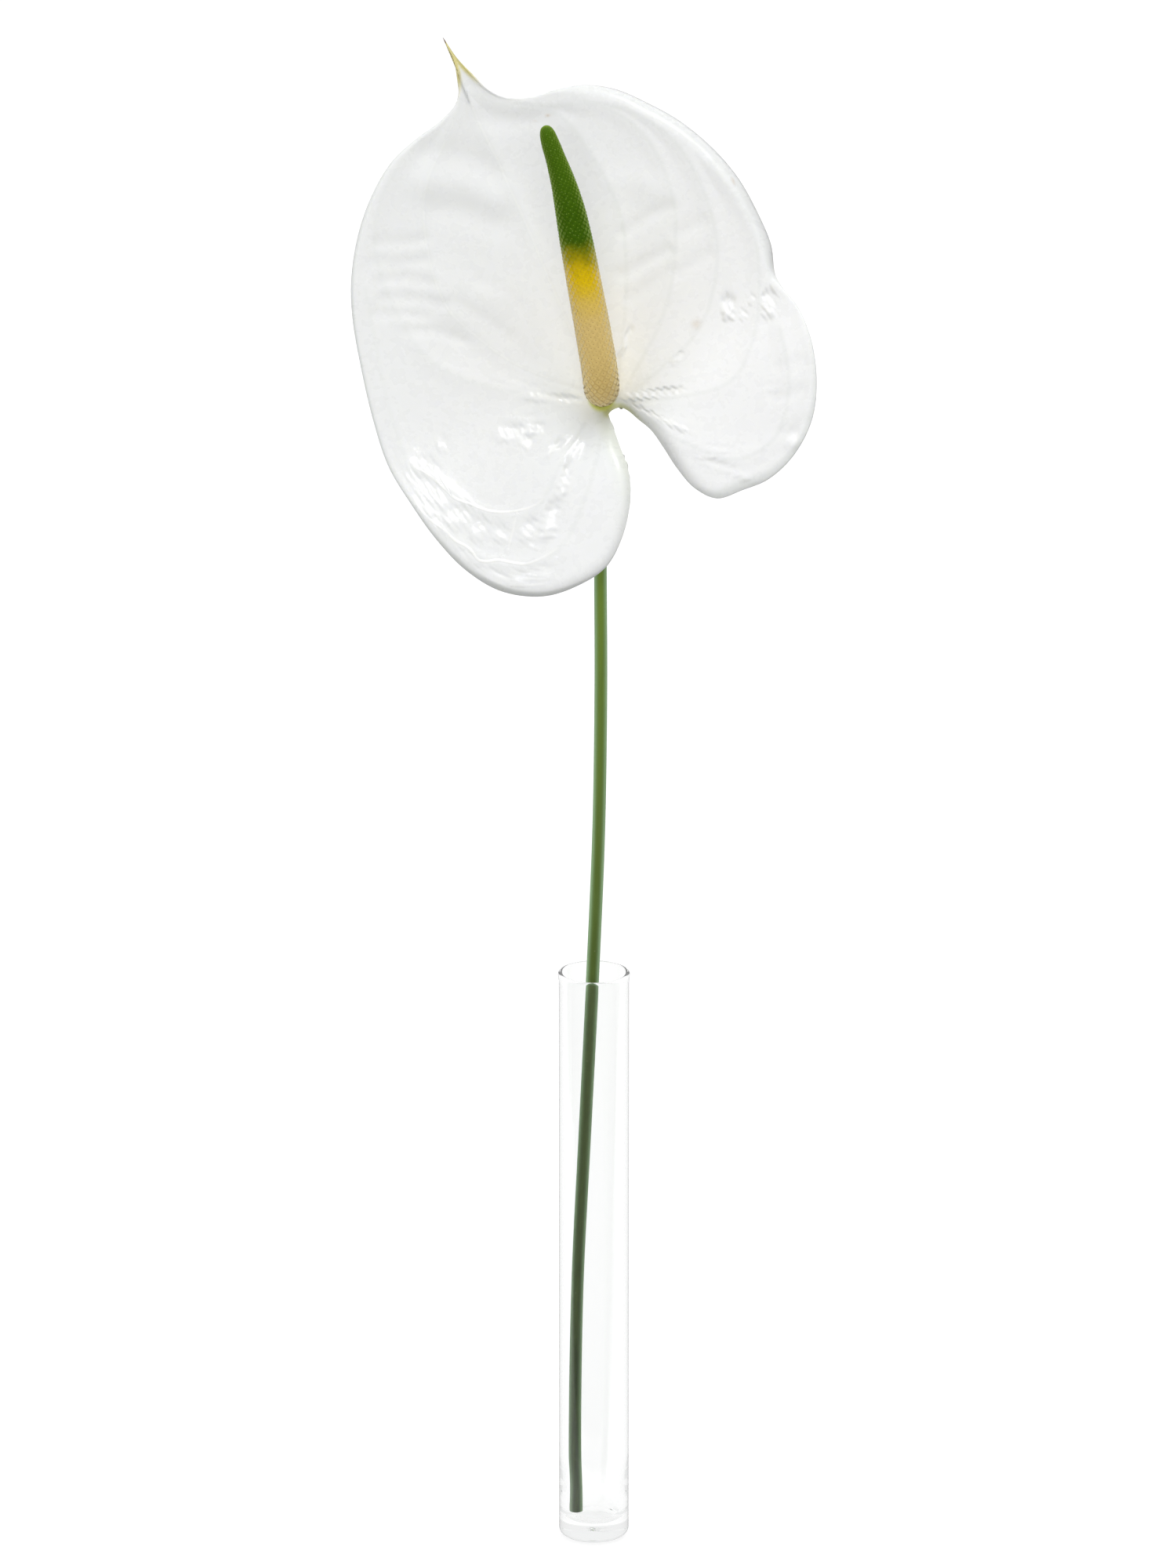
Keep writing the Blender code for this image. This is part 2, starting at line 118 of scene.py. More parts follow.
def mottle_group():
    """Soft noise as a mask from 0 to 1. Every piece takes its tones, sheen and fine grain from it."""
    tree = bpy.data.node_groups.new("mottle", "ShaderNodeTree")
    for label, kind, default in (
        ("Place", "NodeSocketVector", (0.0, 0.0, 0.0)),
        ("Stretch", "NodeSocketVector", (1.0, 1.0, 1.0)),
        ("Scale", "NodeSocketFloat", 100.0),
        ("Detail", "NodeSocketFloat", 3.0),
        ("Low", "NodeSocketFloat", 0.3),
        ("High", "NodeSocketFloat", 0.7),
    ):
        tree.interface.new_socket(label, in_out="INPUT", socket_type=kind).default_value = default
    tree.interface.new_socket("Mask", in_out="OUTPUT", socket_type="NodeSocketFloat")
    start, end = tree.nodes.new("NodeGroupInput"), tree.nodes.new("NodeGroupOutput")
    spread = tree.nodes.new("ShaderNodeMapping")
    cloud = tree.nodes.new("ShaderNodeTexNoise")
    step = tree.nodes.new("ShaderNodeMapRange")
    step.interpolation_type = "SMOOTHSTEP"
    link(tree, start.outputs["Place"], spread.inputs["Vector"])
    link(tree, start.outputs["Stretch"], spread.inputs["Scale"])
    link(tree, spread.outputs["Vector"], cloud.inputs["Vector"])
    link(tree, start.outputs["Scale"], cloud.inputs["Scale"])
    link(tree, start.outputs["Detail"], cloud.inputs["Detail"])
    link(tree, cloud.outputs["Fac"], step.inputs["Value"])
    link(tree, start.outputs["Low"], step.inputs["From Min"])
    link(tree, start.outputs["High"], step.inputs["From Max"])
    link(tree, step.outputs["Result"], end.inputs["Mask"])
    return tree


MOTTLE = mottle_group()


def mottle(tree, place, scale, low=0.3, high=0.7, stretch=(1.0, 1.0, 1.0), detail=3.0):
    """The mottle group set in a material, scale in features per metre."""
    made = tree.nodes.new("ShaderNodeGroup")
    made.node_tree = MOTTLE
    link(tree, place, made.inputs["Place"])
    for label, value in (("Stretch", stretch), ("Scale", scale), ("Detail", detail), ("Low", low), ("High", high)):
        made.inputs[label].default_value = value
    return made.outputs["Mask"]


def ranged(tree, value, low, high, to_low, to_high):
    """The value carried from one range to another, held inside it, with a soft start and end."""
    made = tree.nodes.new("ShaderNodeMapRange")
    made.interpolation_type = "SMOOTHSTEP"
    for name, number in (("From Min", low), ("From Max", high), ("To Min", to_low), ("To Max", to_high)):
        made.inputs[name].default_value = number
    link(tree, value, made.inputs["Value"])
    return made.outputs["Result"]


def raised(tree, height, depth_mm, normal=None):
    """A bump of so many millimetres over a mask from 0 to 1."""
    made = tree.nodes.new("ShaderNodeBump")
    made.inputs["Strength"].default_value = 1.0
    made.inputs["Distance"].default_value = depth_mm * MM
    link(tree, height, made.inputs["Height"])
    if normal is not None:
        link(tree, normal, made.inputs["Normal"])
    return made.outputs["Normal"]


def mixed(tree, mask, first, second):
    """Two colours, or colour sockets, mixed by a mask."""
    made = tree.nodes.new("ShaderNodeMix")
    made.data_type = "RGBA"
    link(tree, mask, made.inputs["Factor"])
    for socket, colour in ((made.inputs[6], first), (made.inputs[7], second)):
        if isinstance(colour, tuple):
            socket.default_value = (*colour, 1.0)
        else:
            link(tree, colour, socket)
    return made.outputs[2]


def glass_finish():
    """Clear glass. On the last bounce it glows light grey: painted light, standing in for light still going round
    inside the wall.
    """
    made, tree, shader, place = new_finish("drawn clear glass")
    shader.inputs["Transmission Weight"].default_value = 1.0
    shader.inputs["IOR"].default_value = GLASS_IOR
    shader.inputs["Specular IOR Level"].default_value = 0.2
    # Painted shade: the glass is a little greyer where it is seen edge-on, standing in for the darker edges of the
    # walls.
    grazing = tree.nodes.new("ShaderNodeLayerWeight")
    grazing.inputs["Blend"].default_value = 0.5
    edge = ranged(tree, grazing.outputs["Facing"], 0.70, 0.98, 0.0, 1.0)
    link(tree, mixed(tree, edge, CLEAR, EDGE_GREY), shader.inputs["Base Color"])
    smears = mottle(tree, place, 60.0, 0.62, 0.8, (1.0, 1.0, 0.35))
    link(tree, ranged(tree, smears, 0.0, 1.0, 0.0, 0.02), shader.inputs["Roughness"])
    draw_lines = mottle(tree, place, 55.0, 0.3, 0.7, (1.0, 1.0, 0.05), 1.0)
    link(tree, raised(tree, draw_lines, 0.02), shader.inputs["Normal"])
    # Painted light: the glass glows on the last bounce of a path, in place of light still going round inside the
    # wall.
    path = tree.nodes.new("ShaderNodeLightPath")
    last = ranged(tree, path.outputs["Ray Depth"], GLASS_BOUNCES - 1.0, GLASS_BOUNCES, 0.0, TRAPPED_LIGHT)
    link(tree, last, shader.inputs["Emission Strength"])
    return made


def settled(name, source):
    """The evaluated object as a plain mesh object at the origin, with its first maker removed."""
    if source.name not in SEE_ALL.objects:
        SEE_ALL.objects.link(source)
    graph = bpy.context.evaluated_depsgraph_get()
    mesh = bpy.data.meshes.new_from_object(source.evaluated_get(graph))
    mesh.name = name
    bpy.data.objects.remove(source, do_unlink=True)
    made = bpy.data.objects.new(name, mesh)
    SEE_ALL.objects.link(made)
    return made


outline = [(x * MM, 0.0, z * MM) for x, z in glass_outline()]
outline_mesh = bpy.data.meshes.new("glass outline")
outline_mesh.from_pydata(outline, [(k, k + 1) for k in range(len(outline) - 1)], [])
blank = bpy.data.objects.new("glass blank", outline_mesh)
turned = blank.modifiers.new("turned", "SCREW")
turned.steps = turned.render_steps = VASE_STEPS
turned.use_merge_vertices = True
turned.merge_threshold = 0.00001
turned.use_smooth_shade = True
tube_vase = settled("tube_vase", blank)
tube_vase.data.materials.clear()
tube_vase.data.materials.append(glass_finish())
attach(tube_vase, "root")
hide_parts("vase")


# Stem. One round fleshy stalk, cut square with a knife at the bottom. It stands on the glass floor, leans
# on the back of the rim and bends forward at the neck, where the spathe and the spadix grow from it.

STEM_RADII = (2.2, 2.15, 2.25, 2.2, 2.15, 2.2, 2.3)
STEM_PATH = (
    (-6.0, -2.1, 8.9),
    (-6.5, -0.8, 33.0),
    (-5.75, 2.3, 90.0),
    (-3.1, 5.0, 147.0),
    (-0.3, 7.88, 205.0),
    (1.65, 11.1, 254.0),
    (2.35, 14.4, 304.0),
    (2.2, 16.4, 345.0),
    (2.2, 16.6, 370.0),
    (2.3, 14.6, 387.0),
)
STEM_RINGS = 420
STEM_SIDES = 40
NODE = (2.75, 4.0, 407.1)
VIEW_LEAN = math.radians(17.0)
VIEW_DISTANCE = 4400.0
NECK_LEAN = math.radians(68.0)
NECK_AT = (-0.2, 2.7, -1.9)
NECK_ABOVE = 2.3
NECK_LENGTH = 6.0
SEAT_GAP = 0.35

RIGHT = np.array((1.0, 0.0, 0.0))
UP = np.array((0.0, math.sin(VIEW_LEAN), math.cos(VIEW_LEAN)))
TOWARD = np.array((0.0, -math.cos(VIEW_LEAN), math.sin(VIEW_LEAN)))
NODE_POINT = np.array(NODE)
NECK = np.array((0.0, math.cos(NECK_LEAN), math.sin(NECK_LEAN)))


def in_room(across, up, toward):
    """Places on the flower's plane, and how far in front of it they lie, as points in the room."""
    nearer = 1 - toward / VIEW_DISTANCE
    spread = np.multiply.outer(across * nearer, RIGHT) + np.multiply.outer(up * nearer, UP)
    return (NODE_POINT + spread + np.multiply.outer(toward, TOWARD)) * MM


def smooth(points, places):
    """A smooth curve through the points, read at places from 0 to the number of points less one."""
    rows = np.asarray(points, float)
    at = np.concatenate([[0.0], np.cumsum(np.sqrt(np.linalg.norm(np.diff(rows[:, :2], axis=0), axis=1)))])
    slopes = np.gradient(rows, at, axis=0)
    first = np.minimum(np.asarray(places, float).astype(int), len(rows) - 2)
    f = (np.asarray(places, float) - first)[..., None]
    span = (at[first + 1] - at[first])[..., None]
    start = (1 + 2 * f) * (1 - f) ** 2 * rows[first] + f * (1 - f) ** 2 * span * slopes[first]
    end = f * f * (3 - 2 * f) * rows[first + 1] + f * f * (f - 1) * span * slopes[first + 1]
    return start + end


def node_group(name, inputs):
    """A Geometry Nodes tree with named number inputs, each with its default."""
    tree = bpy.data.node_groups.new(name, "GeometryNodeTree")
    tree.interface.new_socket("Geometry", in_out="INPUT", socket_type="NodeSocketGeometry")
    for label, kind, default in inputs:
        socket = tree.interface.new_socket(label, in_out="INPUT", socket_type=kind)
        if default is not None:
            socket.default_value = default
    tree.interface.new_socket("Geometry", in_out="OUTPUT", socket_type="NodeSocketGeometry")
    return tree, tree.nodes.new("NodeGroupInput"), tree.nodes.new("NodeGroupOutput")


def run_tree(piece, tree, values):
    """Puts the tree on the piece and sets its inputs by their identifiers."""
    made = piece.modifiers.new(tree.name, "NODES")
    made.node_group = tree
    for item in tree.interface.items_tree:
        if item.item_type == "SOCKET" and item.in_out == "INPUT" and item.name in values:
            made[item.identifier] = values[item.name]
    return made


def stalk_tree():
    """Sweeps a round section along the path, with the path's own radius and filled cut ends."""
    tree, start, end = node_group("stalk along its path", (
        ("Sides", "NodeSocketInt", STEM_SIDES),
        ("Finish", "NodeSocketMaterial", None),
    ))
    section = tree.nodes.new("GeometryNodeCurvePrimitiveCircle")
    section.inputs["Radius"].default_value = MM
    link(tree, start.outputs["Sides"], section.inputs["Resolution"])
    sweep = tree.nodes.new("GeometryNodeCurveToMesh")
    sweep.inputs["Fill Caps"].default_value = True
    link(tree, start.outputs["Geometry"], sweep.inputs["Curve"])
    link(tree, section.outputs["Curve"], sweep.inputs["Profile Curve"])
    if "Scale" in sweep.inputs:
        thick = tree.nodes.new("GeometryNodeInputRadius")
        link(tree, thick.outputs["Radius"], sweep.inputs["Scale"])
    realize = tree.nodes.new("GeometryNodeRealizeInstances")
    coat = tree.nodes.new("GeometryNodeSetMaterial")
    link(tree, sweep.outputs["Mesh"], realize.inputs["Geometry"])
    link(tree, realize.outputs["Geometry"], coat.inputs["Geometry"])
    link(tree, start.outputs["Finish"], coat.inputs["Material"])
    link(tree, coat.outputs["Geometry"], end.inputs["Geometry"])
    return tree


def height_of(tree, place):
    split = tree.nodes.new("ShaderNodeSeparateXYZ")
    link(tree, place, split.inputs["Vector"])
    return split.outputs["Z"]


def stalk_finish():
    made, tree, shader, place = new_finish("fresh green stalk")
    up = height_of(tree, place)
    # The green is darker towards the bottom and lighter above the vase's mouth.
    green = mixed(tree, ranged(tree, up, 0.02, 0.15, 0.0, 1.0), (0.044, 0.082, 0.012), (0.122, 0.186, 0.036))
    green = mixed(tree, ranged(tree, up, 0.20, 0.36, 0.0, 1.0), green, (0.230, 0.360, 0.050))
    streak = mottle(tree, place, 900.0, 0.35, 0.7, (1.0, 1.0, 0.02), 2.0)
    green = mixed(tree, ranged(tree, streak, 0.0, 1.0, 0.0, 0.4), green, (0.160, 0.250, 0.055))
    blotch = mottle(tree, place, 45.0, 0.5, 0.75, (1.0, 1.0, 0.5))
    green = mixed(tree, ranged(tree, blotch, 0.0, 1.0, 0.0, 0.3), green, (0.115, 0.175, 0.036))
    # Painted light: the green is lighter towards the stalk's edges, where it turns from view.
    grazing = tree.nodes.new("ShaderNodeLayerWeight")
    grazing.inputs["Blend"].default_value = 0.4
    painted_edge_light = ranged(tree, grazing.outputs["Facing"], 0.02, 0.42, 0.0, 0.85)
    green = mixed(tree, painted_edge_light, green, (0.520, 0.800, 0.430))
    green = mixed(tree, ranged(tree, up, 0.385, 0.409, 0.0, 1.0), green, (0.52, 0.56, 0.13))
    specks = tree.nodes.new("ShaderNodeTexVoronoi")
    specks.inputs["Scale"].default_value = 330.0
    link(tree, place, specks.inputs["Vector"])
    green = mixed(tree, ranged(tree, specks.outputs["Distance"], 0.05, 0.12, 0.5, 0.0), green, (0.27, 0.33, 0.14))
    link(tree, green, shader.inputs["Base Color"])
    link(tree, ranged(tree, streak, 0.0, 1.0, 0.40, 0.52), shader.inputs["Roughness"])
    grain = mottle(tree, place, 1400.0, 0.25, 0.75, (1.0, 1.0, 0.06), 2.0)
    link(tree, raised(tree, grain, 0.05), shader.inputs["Normal"])
    shader.inputs["Specular IOR Level"].default_value = 0.25
    return made


neck_ends = np.array([NECK_AT - NECK_LENGTH * NECK, NECK_AT + NECK_ABOVE * NECK])
stem_path = np.concatenate([STEM_PATH, in_room(*neck_ends.T) / MM])
ring_parts = np.concatenate([np.linspace(0, 0.8, STEM_RINGS - 120), np.linspace(0.8, 1, 121)[1:]])
stem_line = smooth(stem_path[:, [2, 1, 0]], ring_parts * (len(stem_path) - 1))[:, ::-1]
stem_widths = np.interp(ring_parts, np.linspace(0, 1, len(STEM_RADII)), STEM_RADII)
path = bpy.data.curves.new("stalk path", "CURVE")
path.dimensions = "3D"
spline = path.splines.new("POLY")
spline.points.add(len(stem_line) - 1)
for point, (x, y, z), width in zip(spline.points, stem_line, stem_widths):
    point.co = (x * MM, y * MM, z * MM, 1.0)
    point.radius = width
stalk = bpy.data.objects.new("stalk", path)
SEE_ALL.objects.link(stalk)
run_tree(stalk, stalk_tree(), {"Sides": STEM_SIDES, "Finish": stalk_finish()})
stalk = settled("stalk_stem", stalk)
stalk.data.shade_smooth()
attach(stalk, "root")
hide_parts("stem")


# Spathe. The white bract is one grown blade, thick and waxy, closed in a ring round the stem. Its midrib
# and looping veins are sunk into the face, the skin between them is puckered, and its margin rolls back.

MARGIN = (
    (1.9, -2.4, 0),
    (3.3, -1.2, 0),
    (6.0, -0.6, 0),
    (8.5, -1.6, 0),
    (12.0, -4.5, 0),
    (16.4, -8.2, 0),
    (20.5, -13.9, 0),
    (25.0, -20.8, 10),
    (31.0, -27.6, 25),
    (38.5, -31.1, 45),
    (47.0, -28.4, 55),
    (56.0, -24.6, 50),
    (64.5, -16.5, 45),
    (70.5, -5.0, 45),
    (72.2, 7.0, 45),
    (70.6, 21.2, 40),
    (66.0, 33.0, 35),
    (60.4, 40.2, 40),
    (58.3, 44.5, 70),
    (57.0, 54.0, 95),
    (53.4, 63.0, 100),
    (46.0, 76.5, 105),
    (37.0, 87.0, 105),
    (26.0, 96.0, 100),
    (15.0, 102.1, 95),
    (4.5, 106.6, 85),
    (-6.0, 108.0, 70),
    (-15.0, 106.5, 35),
    (-24.5, 103.6, 0),
    (-33.0, 103.6, -25),
    (-39.0, 106.5, -40),
    (-44.0, 111.3, -45),
    (-49.0, 117.1, -30),
    (-53.6, 123.8, 0),
    (-50.3, 117.1, -30),
    (-48.6, 111.0, -35),
    (-48.2, 106.0, -15),
    (-49.6, 101.0, 15),
    (-55.0, 95.3, 30),
    (-62.4, 89.9, 35),
    (-70.5, 82.5, 40),
    (-77.0, 72.0, 45),
    (-82.0, 58.5, 50),
    (-84.5, 43.0, 50),
    (-84.2, 30.0, 50),
    (-81.3, 13.0, 45),
    (-77.0, -5.5, 45),
    (-72.0, -20.5, 45),
    (-64.5, -33.0, 45),
    (-56.0, -45.0, 50),
    (-46.0, -55.5, 55),
    (-34.0, -62.6, 55),
    (-20.0, -64.3, 50),
    (-8.5, -60.8, 40),
    (1.3, -54.3, 25),
    (7.0, -43.5, 10),
    (9.5, -30.5, 0),
    (8.7, -21.4, 0),
    (5.8, -13.2, 0),
    (3.6, -7.0, 0),
    (2.4, -4.0, 0),
    (1.9, -2.4, 0),
)
TIP_AT = MARGIN[33][:2]
TIP_LEAN = math.radians(23.4)
BLADE_THICK = 0.8
BLADE_EDGE = 0.55
BLADE_COLUMNS = 460
BLADE_ROWS = 138
REAR_ROWS = np.arange(0, BLADE_ROWS + 1, 3)
CUSP_LENGTH = 14.0
CUSP_START = 22.0
COLLAR = (2.95, 2.9)
COLLAR_DOWN = 0.2
SINUS_BEARING = -62.0
FIBRE_PULL = 0.6
LOBE_FAN = math.radians(32.0)
LOBE_FAN_END = 0.25
LOBE_FAN_RISE = 0.6
APEX_FAN_END = 0.03
TIP_PLACE = 33.0
TIP_FAN = math.radians(2.0)
TIP_FAN_REACH = 6.0
ROLL_RADIUS = (2.0, 7.0)
FULL_ROLL = math.radians(105.0)
ROLL_SHARE = 0.3
ROLL_MIDDLE = 0.6
SINUS_TURNS = (4.2, 2.2)
SINUS_WIDTH = 6.0
SINUS_EDGES = (10, 48)
SINUS_FADE = 4.0
BACKWARD_SLOPE = 0.36
CUP_ACROSS = 0.0022
CUP_ALONG = 0.0011
CUP_CENTRE = 25.0
FUNNEL_DEPTH = 6.0
FUNNEL_REACH = 17.0
FUNNEL_ABOVE = 0.1
LOBES_BELOW = 12.0
NODE_DIP = 1.0
NODE_DIP_REACH = 6.0
MIDRIB = ((0, 3), (-9, 22), (-18, 43), (-26, 62), (-31, 73), (-36, 84), (-41, 94), (-49, 114))
LOOPS = (
    ((-8, 6), (-20, 10), (-31, 15), (-42, 23), (-53, 34), (-60, 59), (-59, 75), (-52, 91), (-47, 104)),
    ((-8, 3), (-26, 4), (-44, 8), (-59, 16), (-69, 31), (-76, 49), (-76, 64), (-69, 80), (-47, 104)),
    ((-6, -6), (-14, -20), (-24, -36), (-41, -36), (-54, -27), (-64, -21), (-71, -4), (-80, 40)),
    ((0, -9), (-4, -26), (-16, -50), (-34, -54), (-51, -45), (-64, -32)),
    ((5, 6), (8, 35), (8, 50), (6, 65), (-4, 85), (-15, 98), (-32, 101), (-44, 105)),
    ((8, 6), (20, 29), (24, 46), (24, 69), (15, 90), (0, 101), (-20, 101), (-42, 105)),
    ((10, 4), (32, 25), (38, 42), (38, 60), (27, 86), (10, 99), (-8, 103)),
    ((12, 1), (43, 8), (51, 23), (53, 42), (50, 62), (36, 82)),
    ((12, -2), (27, -12), (45, -18), (58, -11), (63, 7), (60, 26)),
)
VEINS_START = 36.0
BANK_HEIGHT = 0.35
BANK_WIDTH = 3.0
FOLDS = 21
FOLD_HEIGHT = 0.08
FOLD_REACH = 16.0

# Soft banks and hollows of the skin between the veins, read from the photo: height, half width
# and line; a minus is a hollow
SWELLS = (
    (-0.6, 5.0, ((-60, 86), (-47, 84), (-36, 79))),
    (0.6, 5.0, ((-62, 75), (-48, 74), (-36, 69))),
    (-0.6, 5.0, ((-56, 66), (-46, 65), (-36, 61))),
    (0.6, 7.0, ((-54, 40), (-45, 37), (-36, 36))),
    (-0.6, 7.0, ((-48, 21), (-38, 18), (-28, 14))),
    (-0.5, 4.0, ((-40, 97), (-28, 96), (-14, 99))),
    (0.4, 5.0, ((7, 75), (13, 75), (19, 72))),
    (0.5, 7.0, ((25, -9), (32, -13), (38, -17))),
    (-0.5, 5.0, ((-6, -13), (-9, -28), (-11, -42))),
)

# Short creases across the skin: depth, half width and line
CREASES = (
    (0.4, 2.0, ((-76, 55), (-67, 55), (-60, 56))),
    (0.4, 2.0, ((-77, 48), (-68, 48), (-60, 49))),
    (0.5, 2.0, ((-75, 42), (-66, 43), (-57, 41))),
    (0.5, 2.0, ((-74, 36), (-62, 36), (-53, 34))),
    (0.4, 2.0, ((-76, 31), (-68, 31), (-60, 30))),
    (0.4, 2.0, ((-66, 25), (-56, 25), (-47, 22))),
    (0.3, 2.4, ((-49, 35), (-39, 29), (-31, 23))),
    (0.2, 2.4, ((-41, 42), (-33, 39), (-28, 33))),
    (0.4, 2.2, ((7, 58), (16, 64), (23, 67))),
    (0.5, 2.4, ((7, 44), (16, 49), (22, 52))),
    (0.4, 2.4, ((9, 36), (17, 41), (22, 45))),
    (0.3, 2.2, ((26, 58), (30, 60), (34, 62))),
    (0.3, 2.2, ((26, 45), (31, 48), (36, 51))),
    (0.3, 2.0, ((60, 13), (64, 14), (68, 15))),
    (0.3, 2.0, ((58, 3), (62, 3), (67, 5))),
    (0.3, 2.0, ((60, -9), (65, -7), (69, -5))),
)

# Puckers of the skin between the veins: millimetres right and up, half length, half width, turn in degrees
PUCKERS = (
    (-59.8, -20.6, 4.2, 2.4, -10),
    (-63.5, -24.6, 2.1, 1.6, 0),
    (-57.4, -29.3, 6.6, 3.4, -35),
    (-57.6, -34.6, 2.6, 2.1, -30),
    (-48.6, -37.5, 4.5, 2.9, 28),
    (-54.7, -40.2, 3.2, 1.6, -35),
    (-41.8, -41.5, 4.0, 2.1, 60),
    (-34.4, -43.1, 2.6, 2.1, 90),
    (-25.1, -41.8, 3.7, 1.9, 65),
    (-23.0, -47.1, 1.9, 1.3, 0),
    (-17.5, -38.6, 6.3, 1.9, 72),
    (-12.7, -25.4, 6.3, 1.1, 76),
    (-46.8, -50.2, 2.4, 1.6, -30),
    (-44.2, -54.7, 2.6, 1.1, -20),
    (-36.0, -57.9, 4.0, 2.4, -20),
    (-28.3, -58.2, 2.4, 2.4, 0),
    (-23.8, -56.8, 1.9, 1.9, 0),
    (-19.3, -56.1, 2.6, 1.6, 90),
    (-15.9, -51.8, 2.1, 0.8, -70),
    (-31.2, -9.3, 4.8, 2.4, 10),
    (-22.7, -7.7, 3.4, 1.9, 10),
    (-25.4, -12.2, 2.4, 1.6, 40),
    (-16.4, -14.3, 3.4, 1.1, 45),
    (-23.0, -18.5, 1.1, 0.8, 0),
    (-29.9, 8.2, 7.9, 0.7, -12),
    (-18.0, 2.6, 8.5, 1.3, -3),
    (-27.2, -4.0, 5.3, 0.8, 5),
    (-54.5, -12.4, 1.6, 2.1, 0),
    (-61.6, -15.6, 1.9, 1.1, 0),
    (16.9, 4.0, 8.5, 1.3, 8),
    (19.6, -4.2, 9.0, 0.8, -26),
    (39.4, -16.9, 6.6, 0.9, 5),
    (40.2, -14.8, 5.3, 1.1, -10),
    (43.1, -21.7, 7.9, 1.2, -25),
    (57.4, 6.1, 2.6, 1.1, -20),
    (42.3, 33.3, 2.1, 3.7, 0),
    (47.6, 30.7, 1.1, 1.6, 0),
    (50.2, 36.0, 1.1, 1.6, 0),
    (56.3, 34.6, 2.1, 4.2, 0),
    (25.6, 16.1, 2.4, 1.1, 40),
    (7.9, 22.2, 4.8, 0.7, 68),
    (64.5, -11.1, 2.1, 3.2, 0),
    (52.1, -14.0, 2.4, 0.8, 0),
)
LEFT_LEAN = (-0.09, -0.18)
RIGHT_LEAN = (-0.03, -0.34)
PUCKER_SPREAD = 1.4
PUCKER_FLAT = 0.4
PUCKER_SQUARE = 2.6
PUCKER_WANDER = 0.45
PUCKER_FULL = 2.0
PUCKER_NEAR_NODE = 1.3
PUCKER_NODE_REACH = 30.0

# Fine lines of sunk or raised fibre that show along the veins, as places on the flower's plane
FINE_LINES = (
    (0.4, MIDRIB),
    (0.3, LOOPS[0]),
    (1.0, ((-56.1, -20.4), (-53.7, -25.6), (-50.5, -30.7), (-44.4, -33.3), (-37.3, -35.7), (-29.9, -35.7), (-23.3, -33.8),
           (-18.0, -30.1))),
    (1.0, ((-64.2, -20.1), (-59.0, -23.0), (-55.0, -26.4), (-51.0, -29.9))),
    (1.0, ((-66.9, -28.3), (-64.2, -32.0), (-57.6, -38.9), (-53.1, -42.0), (-49.7, -45.5), (-46.5, -47.1), (-44.4, -48.6),
           (-41.8, -52.1), (-38.6, -52.6), (-35.2, -52.1), (-29.9, -53.1), (-25.9, -53.4), (-21.4, -51.8), (-16.9, -49.4),
           (-14.0, -46.8))),
    (0.7, ((-32.5, -60.5), (-27.2, -60.8), (-18.0, -60.0))),
    (0.7, ((-29.3, -37.5), (-30.4, -42.8), (-32.3, -49.4))),
)
LINE_REACH = 1.6
LINE_TAPER = 6.0


def distance_to(curve, across, up):
    """Distance of each point of the flower's plane from a vein."""
    line = smooth(curve, np.linspace(0, len(curve) - 1, 5 * len(curve)))
    near = np.full(np.shape(across), 1e9)
    for start, end in zip(line[:-1], line[1:]):
        step = end - start
        off_x, off_y = across - start[0], up - start[1]
        part = np.clip((off_x * step[0] + off_y * step[1]) / (step @ step), 0, 1)
        near = np.minimum(near, np.hypot(off_x - part * step[0], off_y - part * step[1]))
    return near


def bow(across, up):
    """Height of the blade's smooth form toward the viewer."""
    along = up * math.cos(TIP_LEAN) - across * math.sin(TIP_LEAN)
    side = across * math.cos(TIP_LEAN) + up * math.sin(TIP_LEAN)
    away = np.hypot(across, up)
    cup = CUP_ACROSS * side**2 + CUP_ALONG * ((along - CUP_CENTRE) ** 2 - CUP_CENTRE**2)
    lobeward = 0.5 - 0.5 * np.tanh(along / LOBES_BELOW)
    depth = FUNNEL_DEPTH * (FUNNEL_ABOVE + (1 - FUNNEL_ABOVE) * lobeward)
    funnel = depth * (1 - np.exp(-((away / FUNNEL_REACH) ** 2)))
    dip = NODE_DIP * np.exp(-((away / NODE_DIP_REACH) ** 2))
    return cup + funnel - dip - BACKWARD_SLOPE * along


def vein_nearness(across, up):
    near = distance_to(MIDRIB, across, up)
    for loop in LOOPS:
        near = np.minimum(near, distance_to(loop, across, up))
    return near


def pucker_plan(across, up, spread=1.0):
    """The leaning skin of the puckers as a height, and a mask that is 1 inside a pucker and 0 between them."""
    height, inside = np.zeros(np.shape(across)), np.zeros(np.shape(across))
    wander = PUCKER_WANDER * (np.sin(1.9 * up + 0.7 * across) + 0.6 * np.sin(3.1 * across - 1.3 * up))
    across, up = across + wander, up + PUCKER_WANDER * np.sin(2.3 * across + 1.1 * up)
    for x, y, long, wide, turn in PUCKERS:
        lean = LEFT_LEAN if x < 2 else RIGHT_LEAN
        c, s = math.cos(math.radians(turn)), math.sin(math.radians(turn))
        along = ((across - x) * c + (up - y) * s) / (long * spread)
        aside = ((up - y) * c - (across - x) * s) / (wide * spread)
        part = np.clip((1 - (np.abs(along) ** PUCKER_SQUARE + np.abs(aside) ** PUCKER_SQUARE) ** (1 / PUCKER_SQUARE)) / (1 - PUCKER_FLAT), 0, 1)
        part = part * part * (3 - 2 * part)
        closer = math.exp(-(x * x + y * y) / PUCKER_NODE_REACH**2)
        steep = min(1.0, wide / PUCKER_FULL) * (1 + PUCKER_NEAR_NODE * closer)
        height += steep * part * (lean[0] * (across - x) + lean[1] * (up - y))
        inside = np.maximum(inside, part)
    return height, inside


